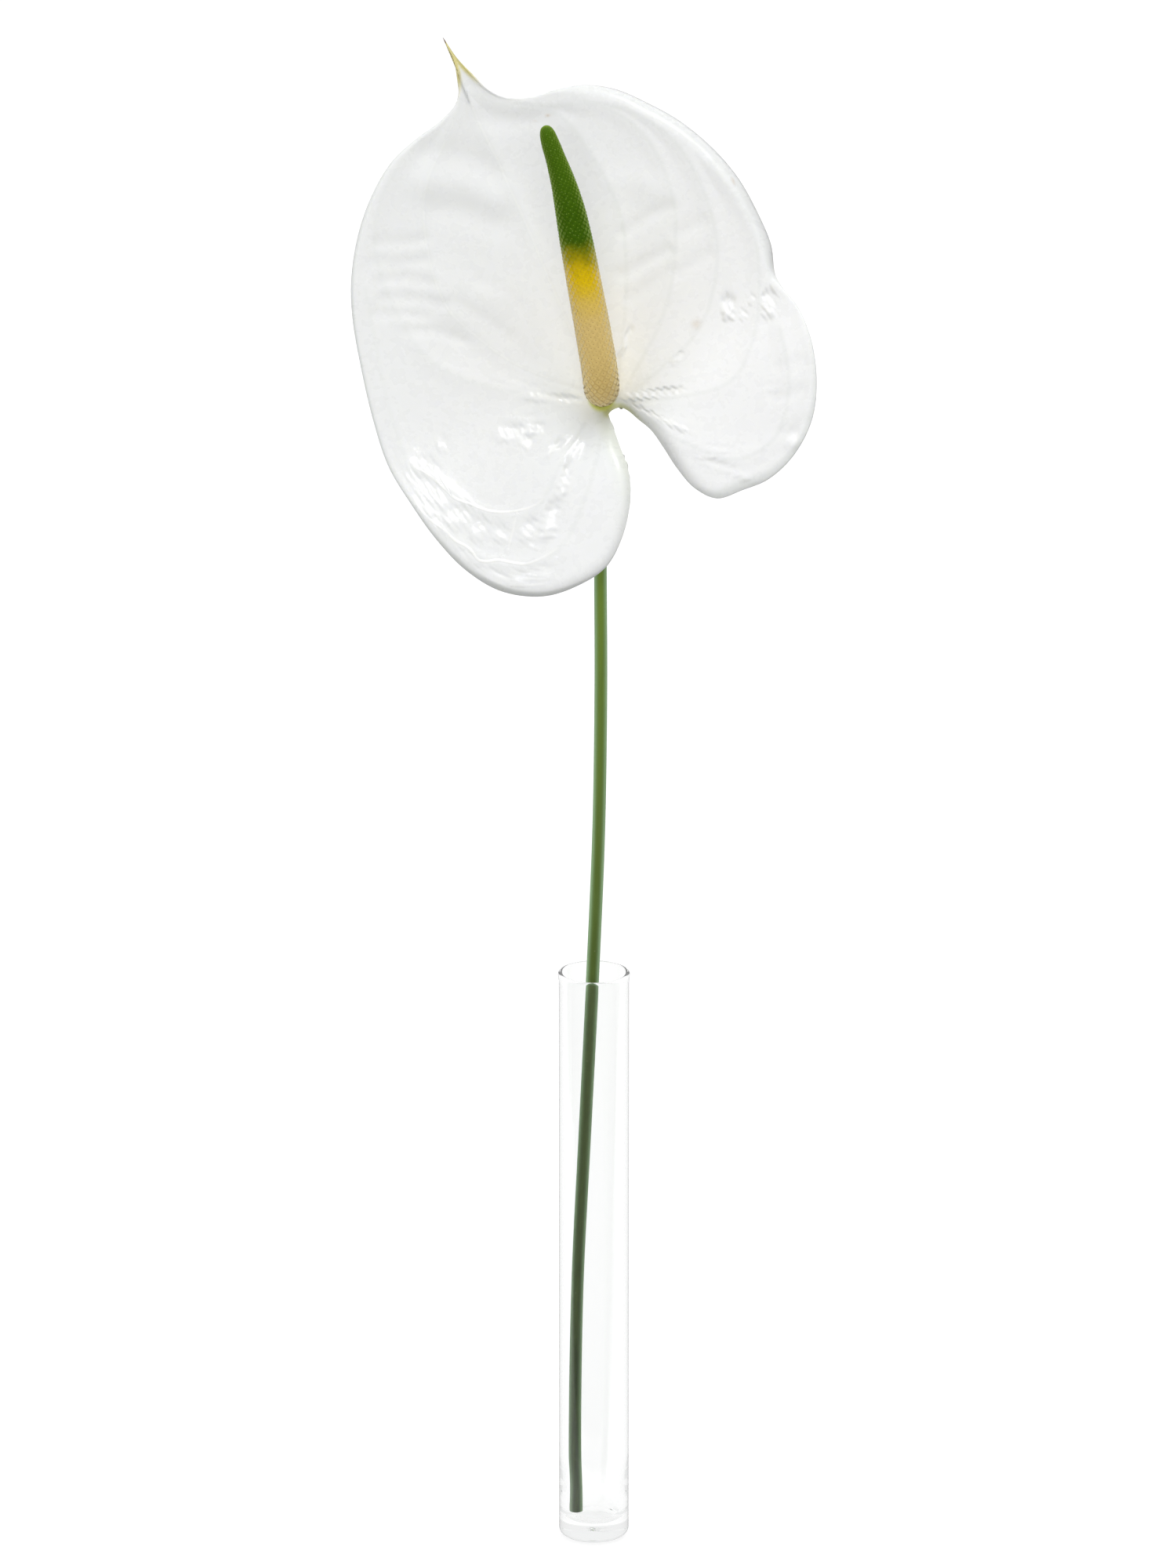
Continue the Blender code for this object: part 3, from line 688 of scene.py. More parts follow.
def relief(across, up, near):
    """Raised veins, swells and creases between them, folds round the stem and the puckers."""
    away = np.hypot(across, up)
    from_tip = np.hypot(across - TIP_AT[0], up - TIP_AT[1])
    smooth_cusp = 1 - np.exp(-((from_tip / CUSP_START) ** 4))
    rise = BANK_HEIGHT * (1 - np.exp(-((away / VEINS_START) ** 2))) * np.exp(-((near / BANK_WIDTH) ** 2))
    for height, width, line in SWELLS:
        rise = rise + height * np.exp(-((distance_to(line, across, up) / width) ** 2))
    for depth, width, line in CREASES:
        rise = rise - depth * np.exp(-((distance_to(line, across, up) / width) ** 2))
    bearing = np.arctan2(up, across)
    wave = np.sin(FOLDS * bearing + 1.4 * np.sin(3 * bearing + 1.0)) * (0.6 + 0.4 * np.sin(5 * bearing))
    reach = (away / FOLD_REACH) ** 2
    fold = FOLD_HEIGHT * wave * reach * np.exp(1 - reach)
    return smooth_cusp * rise + fold + pucker_plan(across, up, PUCKER_SPREAD)[0]


def line_field(across, up):
    """For every point the signed distance from the nearest fine line, and how clearly that line shows."""
    best, signed, taper = (np.full(np.shape(across), value) for value in (1e9, 0.0, 0.0))
    for clear, curve in FINE_LINES:
        line = smooth(curve, np.linspace(0, len(curve) - 1, 5 * len(curve)))
        for k, (start, end) in enumerate(zip(line[:-1], line[1:])):
            step = end - start
            off_x, off_y = across - start[0], up - start[1]
            part = np.clip((off_x * step[0] + off_y * step[1]) / (step @ step), 0, 1)
            near = np.hypot(off_x - part * step[0], off_y - part * step[1])
            side = np.where(step[0] * off_y - step[1] * off_x < 0, -1.0, 1.0)
            way = (k + part) / (len(line) - 1)
            signed = np.where(near < best, side * near, signed)
            taper = np.where(near < best, clear * np.clip(LINE_TAPER * np.minimum(way, 1 - way), 0, 1), taper)
            best = np.minimum(near, best)
    return signed, taper * np.clip((LINE_REACH - best) / 0.4, 0, 1)


def sinus_turn(across, up, place):
    """How far the blade turns back along the two edges of the sinus, fading out past the lobes' ends."""
    right_end, left_start = SINUS_EDGES
    right = distance_to([point[:2] for point in MARGIN[: right_end + 1]], across, up)
    left = distance_to([point[:2] for point in MARGIN[left_start:]], across, up)
    right_fade = np.clip((right_end - place) / SINUS_FADE, 0, 1)
    left_fade = np.clip((place - left_start) / SINUS_FADE, 0, 1)
    from_apex = np.hypot(across - MARGIN[0][0], up - MARGIN[0][1])
    start = 1 - np.exp(-((from_apex / SINUS_WIDTH) ** 2))
    depth = 0
    for turn, near, fade in zip(SINUS_TURNS, (right, left), (right_fade, left_fade)):
        depth = depth + turn * fade * fade * (3 - 2 * fade) * np.maximum(1 - near / SINUS_WIDTH, 0) ** 3
    return start * depth


def fibre_leave(bearing, column, place):
    """The bearing at which the fibre to a place on the margin leaves the collar."""
    bearing = np.where((column > 0.5) & (bearing < 0), bearing + 2 * math.pi, bearing)
    fan = LOBE_FAN * np.minimum(column / LOBE_FAN_END, 1) ** LOBE_FAN_RISE
    fan = fan - 0.5 * math.pi * np.exp(-((column / APEX_FAN_END) ** 2))
    leave = np.where(column < 0.5, np.maximum(bearing, fan), bearing)
    from_tip = place - TIP_PLACE
    return leave + TIP_FAN * from_tip * np.exp(-((from_tip / TIP_FAN_REACH) ** 2))


def blade_plan(column, row):
    """Where the blade's fibres run on the flower's plane, and how far the margin has rolled back."""
    place = column * (len(MARGIN) - 1)
    edge = smooth(MARGIN, place)
    turn = np.radians(SINUS_BEARING + 360 * column)
    collar_x = NECK_AT[0] + COLLAR[0] * np.cos(turn)
    collar_y = NECK_AT[1] - COLLAR_DOWN + COLLAR[1] * np.sin(turn)
    reach_x, reach_y = edge[..., 0] - collar_x, edge[..., 1] - collar_y
    reach = np.hypot(reach_x, reach_y)
    leave = fibre_leave(np.arctan2(reach_y, reach_x), column, place)
    roll = np.radians(edge[..., 2])
    wide = ROLL_RADIUS[0] + (ROLL_RADIUS[1] - ROLL_RADIUS[0]) * (roll / FULL_ROLL) ** 2
    wide = np.minimum(wide, ROLL_SHARE * reach)
    flat = reach - wide * np.sin(np.minimum(np.abs(roll), math.pi / 2))
    run = row * (flat + wide * np.abs(roll))
    turned_back = np.maximum(run - flat, 0) / wide
    part = np.where(run < flat, run, flat + wide * np.sin(turned_back)) / reach
    drop = np.sign(roll) * wide * (1 - np.cos(turned_back))
    pull_x = collar_x + FIBRE_PULL * reach * np.cos(leave)
    pull_y = collar_y + FIBRE_PULL * reach * np.sin(leave)
    across = (1 - part) ** 2 * collar_x + 2 * part * (1 - part) * pull_x + part**2 * edge[..., 0]
    up = (1 - part) ** 2 * collar_y + 2 * part * (1 - part) * pull_y + part**2 * edge[..., 1]
    return across, up, drop + sinus_turn(across, up, place), turned_back * np.sign(roll)


def unit(vectors):
    return vectors / np.maximum(np.linalg.norm(vectors, axis=-1, keepdims=True), 1e-12)


# Small faults of this bloom: millimetres right, up and reach, with how dark each is
SPECKS = (
    (44.7, 75.3, 0.55, 1.0),
    (31.7, 27.5, 1.5, 0.30),
    (-18.0, 97.8, 0.5, 0.6),
    (-23.0, 95.7, 0.4, 0.5),
    (-61.1, 36.5, 0.4, 0.5),
    (65.8, 14.5, 0.4, 0.5),
)


def spathe_masks(across, up, near):
    """What the finish reads at every point of the face: tones, painted light and shade, faults, puckers and distances
    in mm.
    """
    edge = distance_to([point[:2] for point in MARGIN], across, up)
    sinus_edge = distance_to([point[:2] for point in MARGIN[:SINUS_EDGES[0]]], across, up)
    left_edge = distance_to([point[:2] for point in MARGIN[SINUS_EDGES[1]:]], across, up)
    from_tip = np.hypot(across - TIP_AT[0], up - TIP_AT[1])
    from_ring = np.hypot(across - NECK_AT[0], up - NECK_AT[1] + COLLAR_DOWN)
    from_apex = np.hypot(across - MARGIN[0][0], up - MARGIN[0][1])
    speck = np.zeros(across.shape)
    for x, y, reach, dark in SPECKS:
        speck = np.maximum(speck, dark * np.exp(-(((across - x) ** 2 + (up - y) ** 2) / reach**2)))
    return {
        "vein": np.exp(-((near / 0.8) ** 2)),
        "pucker": pucker_plan(across, up, PUCKER_SPREAD)[1],
        "collar": np.exp(-((np.maximum(from_ring - COLLAR[0], 0) / 1.7) ** 2)),
        # Painted light: lighter and cooler round the stem ring, lifting the shade under the spadix's foot and the
        # warm light it throws.
        "glow": np.exp(-((from_ring / 26.0) ** 2)),
        # Painted shade on the band where the right lobe's edge turns back at the sinus, with the yellow-green of the
        # tissue near the stem.
        "fold": np.exp(-((sinus_edge / 1.9) ** 2)) * np.exp(-((from_apex / 13.0) ** 2)),
        # Greener tissue along the left lobe's edge of the sinus near the stem, partly painted shade on that turned
        # edge.
        "inner": np.exp(-((left_edge / 5.0) ** 2)) * np.exp(-((from_apex / 34.0) ** 2)),
        "cusp": np.exp(-((from_tip / 19.0) ** 4)) * np.exp(-((edge / 1.3) ** 2)),
        "burnt": np.exp(-((from_tip / 2.6) ** 2)),
        # Painted light: lighter along the margin, where the rolled edge turns away from the light.
        "rim": np.exp(-((edge / 1.2) ** 2)),
        "speck": speck,
        # Painted light: the face is lighter towards the right, making up for the right half turning away from the
        # lamps.
        "painted_light_right": np.clip(0.5 + across / 90, 0, 1),
    }


def make_spathe():
    columns, rows = np.linspace(0, 1, BLADE_COLUMNS + 1), np.linspace(0, 1, BLADE_ROWS + 1)
    column, row = np.meshgrid(columns, rows, indexing="ij")
    eased = 0.5 * (row + np.sin(0.5 * math.pi * row))
    across, up, back, rolled = blade_plan(column, eased)
    near = vein_nearness(across, up)
    form = in_room(across, up, bow(across, up) - back)
    face = in_room(across, up, bow(across, up) + relief(across, up, near) - back)
    facing = unit(np.cross(np.gradient(form, axis=1), np.gradient(form, axis=0)))
    facing *= np.sign((facing * TOWARD).sum(-1).mean())
    facing[0] = facing[-1] = unit(facing[0] + facing[-1])
    from_tip = np.hypot(across - TIP_AT[0], up - TIP_AT[1])
    plain = np.exp(-((from_tip / CUSP_LENGTH) ** 4))[..., None]
    facing = unit(facing * (1 - plain) + TOWARD * plain)
    thick = BLADE_THICK + (BLADE_EDGE - BLADE_THICK) * np.clip((row - 0.93) / 0.07, 0, 1)
    rear = (face - facing * thick[..., None] * MM)[:, REAR_ROWS]
    centre, half = 0.5 * (face[:, -1] + rear[:, -1]), 0.5 * (face[:, -1] - rear[:, -1])
    out = unit(face[:, -1] - face[:, -2]) * np.linalg.norm(half, axis=-1, keepdims=True)
    lips = [centre + half * math.cos(a) + out * math.sin(a) for a in np.radians((45, 90, 135))]
    rounds = np.concatenate([face, np.stack(lips, 1), rear[:, ::-1]], 1)
    wide, long = rounds.shape[:2]
    index = np.arange(wide * long).reshape(wide, long)
    loop = np.concatenate([index, index[:, :1]], 1)
    faces = np.stack([loop[:-1, :-1], loop[1:, :-1], loop[1:, 1:], loop[:-1, 1:]], -1).reshape(-1, 4)
    mesh = bpy.data.meshes.new("waxy_spathe")
    mesh.from_pydata(rounds.reshape(-1, 3), [], faces.tolist())

    def all_round(mask):
        lip = mask[:, -1:]
        return np.concatenate([mask, lip, lip, lip, mask[:, REAR_ROWS][:, ::-1]], 1).ravel().astype(np.float32)

    # The rolled mask carries painted shade: greyer on the band where the margin rolls back.
    for name, mask in {**spathe_masks(across, up, near), "rolled": np.clip(1 - np.abs(rolled - ROLL_MIDDLE) / ROLL_MIDDLE, 0, 1)}.items():
        mesh.attributes.new(name, "FLOAT", "POINT").data.foreach_set("value", all_round(mask))
    signed, close = line_field(across, up)
    line = np.stack([all_round(signed), all_round(close), np.zeros(rounds.shape[:2], np.float32).ravel()], -1)
    mesh.attributes.new("line", "FLOAT_VECTOR", "POINT").data.foreach_set("vector", line.ravel())
    bm = bmesh.new()
    bm.from_mesh(mesh)
    bmesh.ops.remove_doubles(bm, verts=bm.verts, dist=0.000002)
    bmesh.ops.recalc_face_normals(bm, faces=bm.faces)
    bm.to_mesh(mesh)
    bm.free()
    mesh.shade_smooth()
    made = bpy.data.objects.new("waxy_spathe", mesh)
    SEE_ALL.objects.link(made)
    return made


def mask_of(tree, name):
    made = tree.nodes.new("ShaderNodeAttribute")
    made.attribute_name = name
    return made.outputs["Fac"]


def spathe_finish():
    made, tree, shader, place = new_finish("waxy white spathe")
    line_at = tree.nodes.new("ShaderNodeAttribute")
    line_at.attribute_name = "line"
    parts = tree.nodes.new("ShaderNodeSeparateXYZ")
    link(tree, line_at.outputs["Vector"], parts.inputs["Vector"])
    off = tree.nodes.new("ShaderNodeMath")
    off.operation = "ABSOLUTE"
    link(tree, parts.outputs["X"], off.inputs[0])
    line = tree.nodes.new("ShaderNodeMath")
    line.operation = "MULTIPLY"
    link(tree, ranged(tree, off.outputs[0], 0.05, 0.65, 1.0, 0.0), line.inputs[0])
    link(tree, parts.outputs["Y"], line.inputs[1])
    cloud = mottle(tree, place, 14.0, 0.3, 0.7, detail=1.0)
    white = mixed(tree, cloud, (0.866, 0.878, 0.870), (0.872, 0.882, 0.872))
    # Painted light: lighter towards the right.
    white = mixed(tree, mask_of(tree, "painted_light_right"), white, (0.955, 0.963, 0.955))
    # Painted light round the stem ring, against the shade under the spadix's foot.
    white = mixed(tree, ranged(tree, mask_of(tree, "glow"), 0.0, 1.0, 0.0, 0.8), white, (0.945, 0.985, 0.970))
    white = mixed(tree, ranged(tree, mask_of(tree, "vein"), 0.0, 1.0, 0.0, 0.35), white, (0.800, 0.820, 0.800))
    white = mixed(tree, line.outputs[0], white, (0.960, 0.965, 0.940))
    # Painted light along the margin.
    white = mixed(tree, ranged(tree, mask_of(tree, "rim"), 0.2, 1.0, 0.0, 0.5), white, (0.97, 0.98, 0.96))
    # Painted shade on the band where the margin rolls back, which the overhead light would leave too bright.
    white = mixed(tree, ranged(tree, mask_of(tree, "rolled"), 0.0, 0.8, 0.0, 0.7), white, (0.800, 0.820, 0.800))
    # Greener tissue by the left sinus edge, partly painted shade.
    white = mixed(tree, ranged(tree, mask_of(tree, "inner"), 0.0, 0.9, 0.0, 0.8), white, (0.720, 0.750, 0.670))
    # Painted shade where the right sinus edge turns back, over yellow-green tissue.
    white = mixed(tree, ranged(tree, mask_of(tree, "fold"), 0.1, 0.9, 0.0, 0.85), white, (0.58, 0.60, 0.30))
    white = mixed(tree, ranged(tree, mask_of(tree, "collar"), 0.1, 0.9, 0.0, 0.95), white, (0.66, 0.70, 0.17))
    white = mixed(tree, ranged(tree, mask_of(tree, "cusp"), 0.1, 0.8, 0.0, 0.95), white, (0.78, 0.70, 0.30))
    white = mixed(tree, mask_of(tree, "speck"), white, (0.45, 0.27, 0.10))
    white = mixed(tree, ranged(tree, mask_of(tree, "burnt"), 0.3, 0.8, 0.0, 1.0), white, (0.16, 0.075, 0.03))
    link(tree, white, shader.inputs["Base Color"])
    wax = mottle(tree, place, 260.0)
    link(tree, ranged(tree, wax, 0.0, 1.0, 0.24, 0.34), shader.inputs["Roughness"])
    cells = tree.nodes.new("ShaderNodeTexVoronoi")
    cells.feature = "DISTANCE_TO_EDGE"
    cells.inputs["Scale"].default_value = 300.0
    link(tree, place, cells.inputs["Vector"])
    skin = tree.nodes.new("ShaderNodeMath")
    skin.operation = "ADD"
    link(tree, mottle(tree, place, 350.0, 0.25, 0.75, detail=1.0), skin.inputs[0])
    link(tree, ranged(tree, cells.outputs["Distance"], 0.0, 0.14, 0.0, 0.5), skin.inputs[1])
    crumple = tree.nodes.new("ShaderNodeMath")
    crumple.operation = "MULTIPLY"
    link(tree, skin.outputs[0], crumple.inputs[0])
    link(tree, mask_of(tree, "pucker"), crumple.inputs[1])
    pebble = raised(tree, mottle(tree, place, 600.0, detail=1.0), 0.01)
    lined = raised(tree, line.outputs[0], 0.06, pebble)
    link(tree, lined, shader.inputs["Normal"])
    link(tree, raised(tree, crumple.outputs[0], 0.11, lined), shader.inputs["Coat Normal"])
    dull = tree.nodes.new("ShaderNodeMath")
    dull.operation = "MAXIMUM"
    link(tree, mask_of(tree, "rolled"), dull.inputs[0])
    link(tree, mask_of(tree, "inner"), dull.inputs[1])
    link(tree, ranged(tree, dull.outputs[0], 0.0, 0.6, 0.8, 0.05), shader.inputs["Coat Weight"])
    shader.inputs["Coat Roughness"].default_value = 0.06
    shader.inputs["Subsurface Weight"].default_value = 0.25
    shader.inputs["Subsurface Radius"].default_value = (1.0, 1.0, 0.8)
    shader.inputs["Subsurface Scale"].default_value = 0.002
    return made


spathe = make_spathe()
spathe.data.materials.append(spathe_finish())
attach(spathe, "root")
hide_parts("spathe")


# Spadix. The fleshy spike carries the true flowers, hundreds of small four-part florets packed edge to
# edge in spirals. They are ripe and beige at the foot, yellow in the middle and hard and green above.

SPADIX = (
    (-0.2, 0.0, 2.2),
    (-0.2, 0.15, 3.8),
    (-0.2, 0.5, 4.9),
    (-0.2, 1.3, 5.6),
    (-0.3, 3.0, 5.85),
    (-1.0, 9.0, 5.95),
    (-3.2, 22.0, 5.9),
    (-6.0, 37.0, 5.7),
    (-8.9, 52.5, 5.4),
    (-10.9, 62.5, 4.9),
    (-13.0, 71.0, 4.15),
    (-15.8, 79.8, 3.3),
    (-17.6, 85.0, 2.95),
    (-18.7, 88.6, 2.35),
    (-19.1, 90.1, 1.5),
    (-19.25, 90.7, 0.6),
)
SPADIX_FORWARD = 13.0
SPADIX_BEND = 42.0
FOOT_BEND = 3.0
FLORETS_ROUND = 15
FLORET_TURN = math.radians(2.2)
FLORET_SHAPE = 0.97
FLORET_SLANT = FLORET_TURN * FLORETS_ROUND / (math.pi * FLORET_SHAPE)
FLORET_HEIGHT = 0.015
FLORET_WRAP = 0.108
STIGMA_HEIGHT = 0.03
STIGMA_REACH = 0.25
CORE_SINK = 0.12
CORE_SIDES = 60
CORE_RINGS = 150


def spadix_skin(along):
    """At parts of the skin's length: centre, radius, the sides right and front, the axis, the length."""
    line = smooth(SPADIX, np.linspace(0, len(SPADIX) - 1, 800))
    foot = NECK_AT + (NECK_ABOVE + SEAT_GAP) * NECK
    foot_slope = math.tan(NECK_LEAN) - SPADIX_FORWARD / SPADIX_BEND
    forward = foot[2] + SPADIX_FORWARD * (1 - np.exp(-line[:, 1] / SPADIX_BEND))
    forward += foot_slope * FOOT_BEND * (1 - np.exp(-line[:, 1] / FOOT_BEND))
    centre = np.column_stack([line[:, 0], line[:, 1] + foot[1], forward])
    length = np.concatenate([[0.0], np.cumsum(np.linalg.norm(np.diff(centre, axis=0), axis=1))])
    skin = np.concatenate([[0.0], np.cumsum(np.hypot(np.diff(length), np.diff(line[:, 2])))])
    want = np.asarray(along) * skin[-1]
    at = np.stack([np.interp(want, skin, values) for values in centre.T], -1)
    radius = np.interp(want, skin, line[:, 2])
    slope = np.gradient(centre, length, axis=0)
    axis = unit(np.stack([np.interp(want, skin, slope[:, k]) for k in range(3)], -1))
    side = unit(np.cross(axis, (0.0, 0.0, 1.0)))
    return at, radius, side, np.cross(side, axis), skin[-1]


def skin_point(along, turn, sink=0.0):
    """Points on the spike's skin, in the room."""
    at, radius, side, front, _ = spadix_skin(along)
    off = side * np.cos(turn)[..., None] + front * np.sin(turn)[..., None]
    return in_room(*np.moveaxis(at + off * np.maximum(radius - sink, 0.0)[..., None], -1, 0))


def floret_rows():
    """Parts of the length at which the rings of florets sit, closer together where the spike is slim."""
    at, rings = 0.0, []
    length = spadix_skin(0.0)[4]
    while True:
        radius = float(spadix_skin(at / length)[1])
        at += 0.5 * FLORET_SHAPE * 2 * math.pi * max(radius, 1.2) / FLORETS_ROUND
        if at > length - 0.25:
            return np.array(rings) / length
        rings.append(at)


def floret_seats():
    """A vertex for each floret, with its size and the directions out of and along the spike."""
    rings = floret_rows()
    ring, place = np.meshgrid(np.arange(len(rings)), np.arange(FLORETS_ROUND), indexing="ij")
    along = rings[ring].ravel()
    turn = (2 * math.pi * (place + 0.5 * (ring % 2)) / FLORETS_ROUND + FLORET_TURN * ring).ravel()
    step = 1e-4
    at = skin_point(along, turn)
    up = unit(skin_point(np.minimum(along + step, 1), turn) - skin_point(np.maximum(along - step, 0), turn))
    round_way = unit(skin_point(along, turn + step) - skin_point(along, turn - step))
    out = unit(np.cross(round_way, up))
    radius = spadix_skin(along)[1]
    mesh = bpy.data.meshes.new("floret seats")
    mesh.from_pydata(at, [], [])
    half = math.pi * np.maximum(radius, 0.6) / FLORETS_ROUND
    for name, kind, values in (("out", "FLOAT_VECTOR", out), ("along", "FLOAT_VECTOR", up)):
        layer = mesh.attributes.new(name, kind, "POINT")
        layer.data.foreach_set("vector", values.astype(np.float32).ravel())
    layer = mesh.attributes.new("half", "FLOAT", "POINT")
    layer.data.foreach_set("value", (half * MM).astype(np.float32))
    made = bpy.data.objects.new("floret seats", mesh)
    SEE_ALL.objects.link(made)
    return made


def floret_mould():
    """One floret, one unit from its middle to a corner: four plump parts and the stigma between them."""
    steps = 6
    u, v = np.meshgrid(np.linspace(-1, 1, steps + 1), np.linspace(-1, 1, steps + 1), indexing="ij")
    dome = (1 - np.abs(u) ** 2.5) * (1 - np.abs(v) ** 2.5)
    middle = np.hypot(u, v)
    x, y = 0.5 * (u - v), 0.5 * (u + v)
    x = x + FLORET_SLANT * y
    height = FLORET_HEIGHT * dome + STIGMA_HEIGHT * np.exp(-((middle / STIGMA_REACH) ** 2)) - FLORET_WRAP * x**2
    mesh = bpy.data.meshes.new("floret mould")
    index = np.arange((steps + 1) ** 2).reshape(steps + 1, -1)
    faces = np.stack([index[:-1, :-1], index[1:, :-1], index[1:, 1:], index[:-1, 1:]], -1).reshape(-1, 4)
    mesh.from_pydata(np.stack([x, y, height - FLORET_HEIGHT], -1).reshape(-1, 3), [], faces.tolist())
    mesh.attributes.new("middle", "FLOAT", "POINT").data.foreach_set("value", middle.ravel().astype(np.float32))
    mesh.shade_smooth()
    made = bpy.data.objects.new("floret mould", mesh)
    SEE_ALL.objects.link(made)
    return made


def named(tree, name, kind):
    made = tree.nodes.new("GeometryNodeInputNamedAttribute")
    made.data_type = kind
    made.inputs["Name"].default_value = name
    return made.outputs["Attribute"]


def floret_tree():
    """Sets a floret on each seat, turned out of the spike and varied a little in size."""
    tree, start, end = node_group("florets on their seats", (
        ("Floret", "NodeSocketObject", None),
        ("Size Spread", "NodeSocketFloat", 0.05),
        ("Seed", "NodeSocketInt", 7),
        ("Finish", "NodeSocketMaterial", None),
    ))
    floret = tree.nodes.new("GeometryNodeObjectInfo")
    link(tree, start.outputs["Floret"], floret.inputs["Object"])
    turn = tree.nodes.new("FunctionNodeAxesToRotation")
    turn.primary_axis, turn.secondary_axis = "Z", "Y"
    link(tree, named(tree, "out", "FLOAT_VECTOR"), turn.inputs["Primary Axis"])
    link(tree, named(tree, "along", "FLOAT_VECTOR"), turn.inputs["Secondary Axis"])
    less = tree.nodes.new("ShaderNodeMath")
    less.operation = "SUBTRACT"
    less.inputs[0].default_value = 1.0
    link(tree, start.outputs["Size Spread"], less.inputs[1])
    more = tree.nodes.new("ShaderNodeMath")
    more.operation = "ADD"
    more.inputs[0].default_value = 1.0
    link(tree, start.outputs["Size Spread"], more.inputs[1])
    spread = tree.nodes.new("FunctionNodeRandomValue")
    link(tree, less.outputs[0], spread.inputs[2])
    link(tree, more.outputs[0], spread.inputs[3])
    link(tree, start.outputs["Seed"], spread.inputs["Seed"])
    size = tree.nodes.new("ShaderNodeMath")
    size.operation = "MULTIPLY"
    link(tree, spread.outputs[1], size.inputs[0])
    link(tree, named(tree, "half", "FLOAT"), size.inputs[1])
    double = tree.nodes.new("ShaderNodeMath")
    double.operation = "MULTIPLY"
    double.inputs[1].default_value = 1.03
    link(tree, size.outputs[0], double.inputs[0])
    place = tree.nodes.new("GeometryNodeInstanceOnPoints")
    link(tree, start.outputs["Geometry"], place.inputs["Points"])
    link(tree, floret.outputs["Geometry"], place.inputs["Instance"])
    link(tree, turn.outputs["Rotation"], place.inputs["Rotation"])
    link(tree, double.outputs[0], place.inputs["Scale"])
    realize = tree.nodes.new("GeometryNodeRealizeInstances")
    coat = tree.nodes.new("GeometryNodeSetMaterial")
    link(tree, place.outputs["Instances"], realize.inputs["Geometry"])
    link(tree, realize.outputs["Geometry"], coat.inputs["Geometry"])
    link(tree, start.outputs["Finish"], coat.inputs["Material"])
    link(tree, coat.outputs["Geometry"], end.inputs["Geometry"])
    return tree


def spadix_finish():
    made, tree, shader, place = new_finish("ripening florets")
    wander = tree.nodes.new("ShaderNodeMath")
    wander.operation = "MULTIPLY_ADD"
    wander.inputs[1].default_value = 0.002
    link(tree, mottle(tree, place, 300.0, 0.25, 0.75, detail=2.0), wander.inputs[0])
    link(tree, height_of(tree, place), wander.inputs[2])
    level = wander.outputs[0]
    yellow = ranged(tree, level, 0.437, 0.455, 0.0, 1.0)
    green = ranged(tree, level, 0.4535, 0.4685, 0.0, 1.0)
    fruit = mixed(tree, yellow, (0.865, 0.642, 0.238), (0.860, 0.590, 0.003))
    fruit = mixed(tree, green, fruit, (0.046, 0.115, 0.001))
    fruit = mixed(tree, ranged(tree, level, 0.470, 0.500, 0.0, 1.0), fruit, (0.065, 0.145, 0.004))
    tone = ranged(tree, mottle(tree, place, 520.0, 0.35, 0.68), 0.0, 1.0, 0.0, 0.15)
    plump = mixed(tree, yellow, (0.850, 0.600, 0.220), (0.900, 0.630, 0.004))
    fruit = mixed(tree, tone, fruit, mixed(tree, green, plump, (0.080, 0.175, 0.003)))
    # Painted light: the florets are lighter towards the spike's edges, where it turns from view.
    grazing = tree.nodes.new("ShaderNodeLayerWeight")
    grazing.inputs["Blend"].default_value = 0.4
    painted_edge_light = ranged(tree, grazing.outputs["Facing"], 0.08, 0.7, 0.0, 0.75)
    fruit = mixed(tree, painted_edge_light, fruit, mixed(tree, green, (0.950, 0.820, 0.500), (0.300, 0.450, 0.060)))
    middle = mask_of(tree, "middle")
    stigma = mixed(tree, green, (0.420, 0.200, 0.060), (0.260, 0.360, 0.050))
    fruit = mixed(tree, ranged(tree, middle, 0.06, 0.30, 0.8, 0.0), fruit, stigma)
    seam = ranged(tree, middle, 0.80, 1.25, 0.0, 0.06)
    fruit = mixed(tree, seam, fruit, mixed(tree, green, (0.560, 0.380, 0.150), (0.035, 0.080, 0.004)))
    dots = tree.nodes.new("ShaderNodeTexVoronoi")
    dots.inputs["Scale"].default_value = 900.0
    link(tree, place, dots.inputs["Vector"])
    oil = tree.nodes.new("ShaderNodeMath")
    oil.operation = "MULTIPLY"
    link(tree, ranged(tree, dots.outputs["Distance"], 0.10, 0.28, 0.6, 0.0), oil.inputs[0])
    link(tree, green, oil.inputs[1])
    fruit = mixed(tree, oil.outputs[0], fruit, (0.210, 0.340, 0.060))
    link(tree, fruit, shader.inputs["Base Color"])
    sheen = mottle(tree, place, 900.0)
    link(tree, ranged(tree, sheen, 0.0, 1.0, 0.30, 0.44), shader.inputs["Roughness"])
    link(tree, raised(tree, mottle(tree, place, 2600.0, detail=2.0), 0.02), shader.inputs["Normal"])
    shader.inputs["Specular IOR Level"].default_value = 0.08
    return made


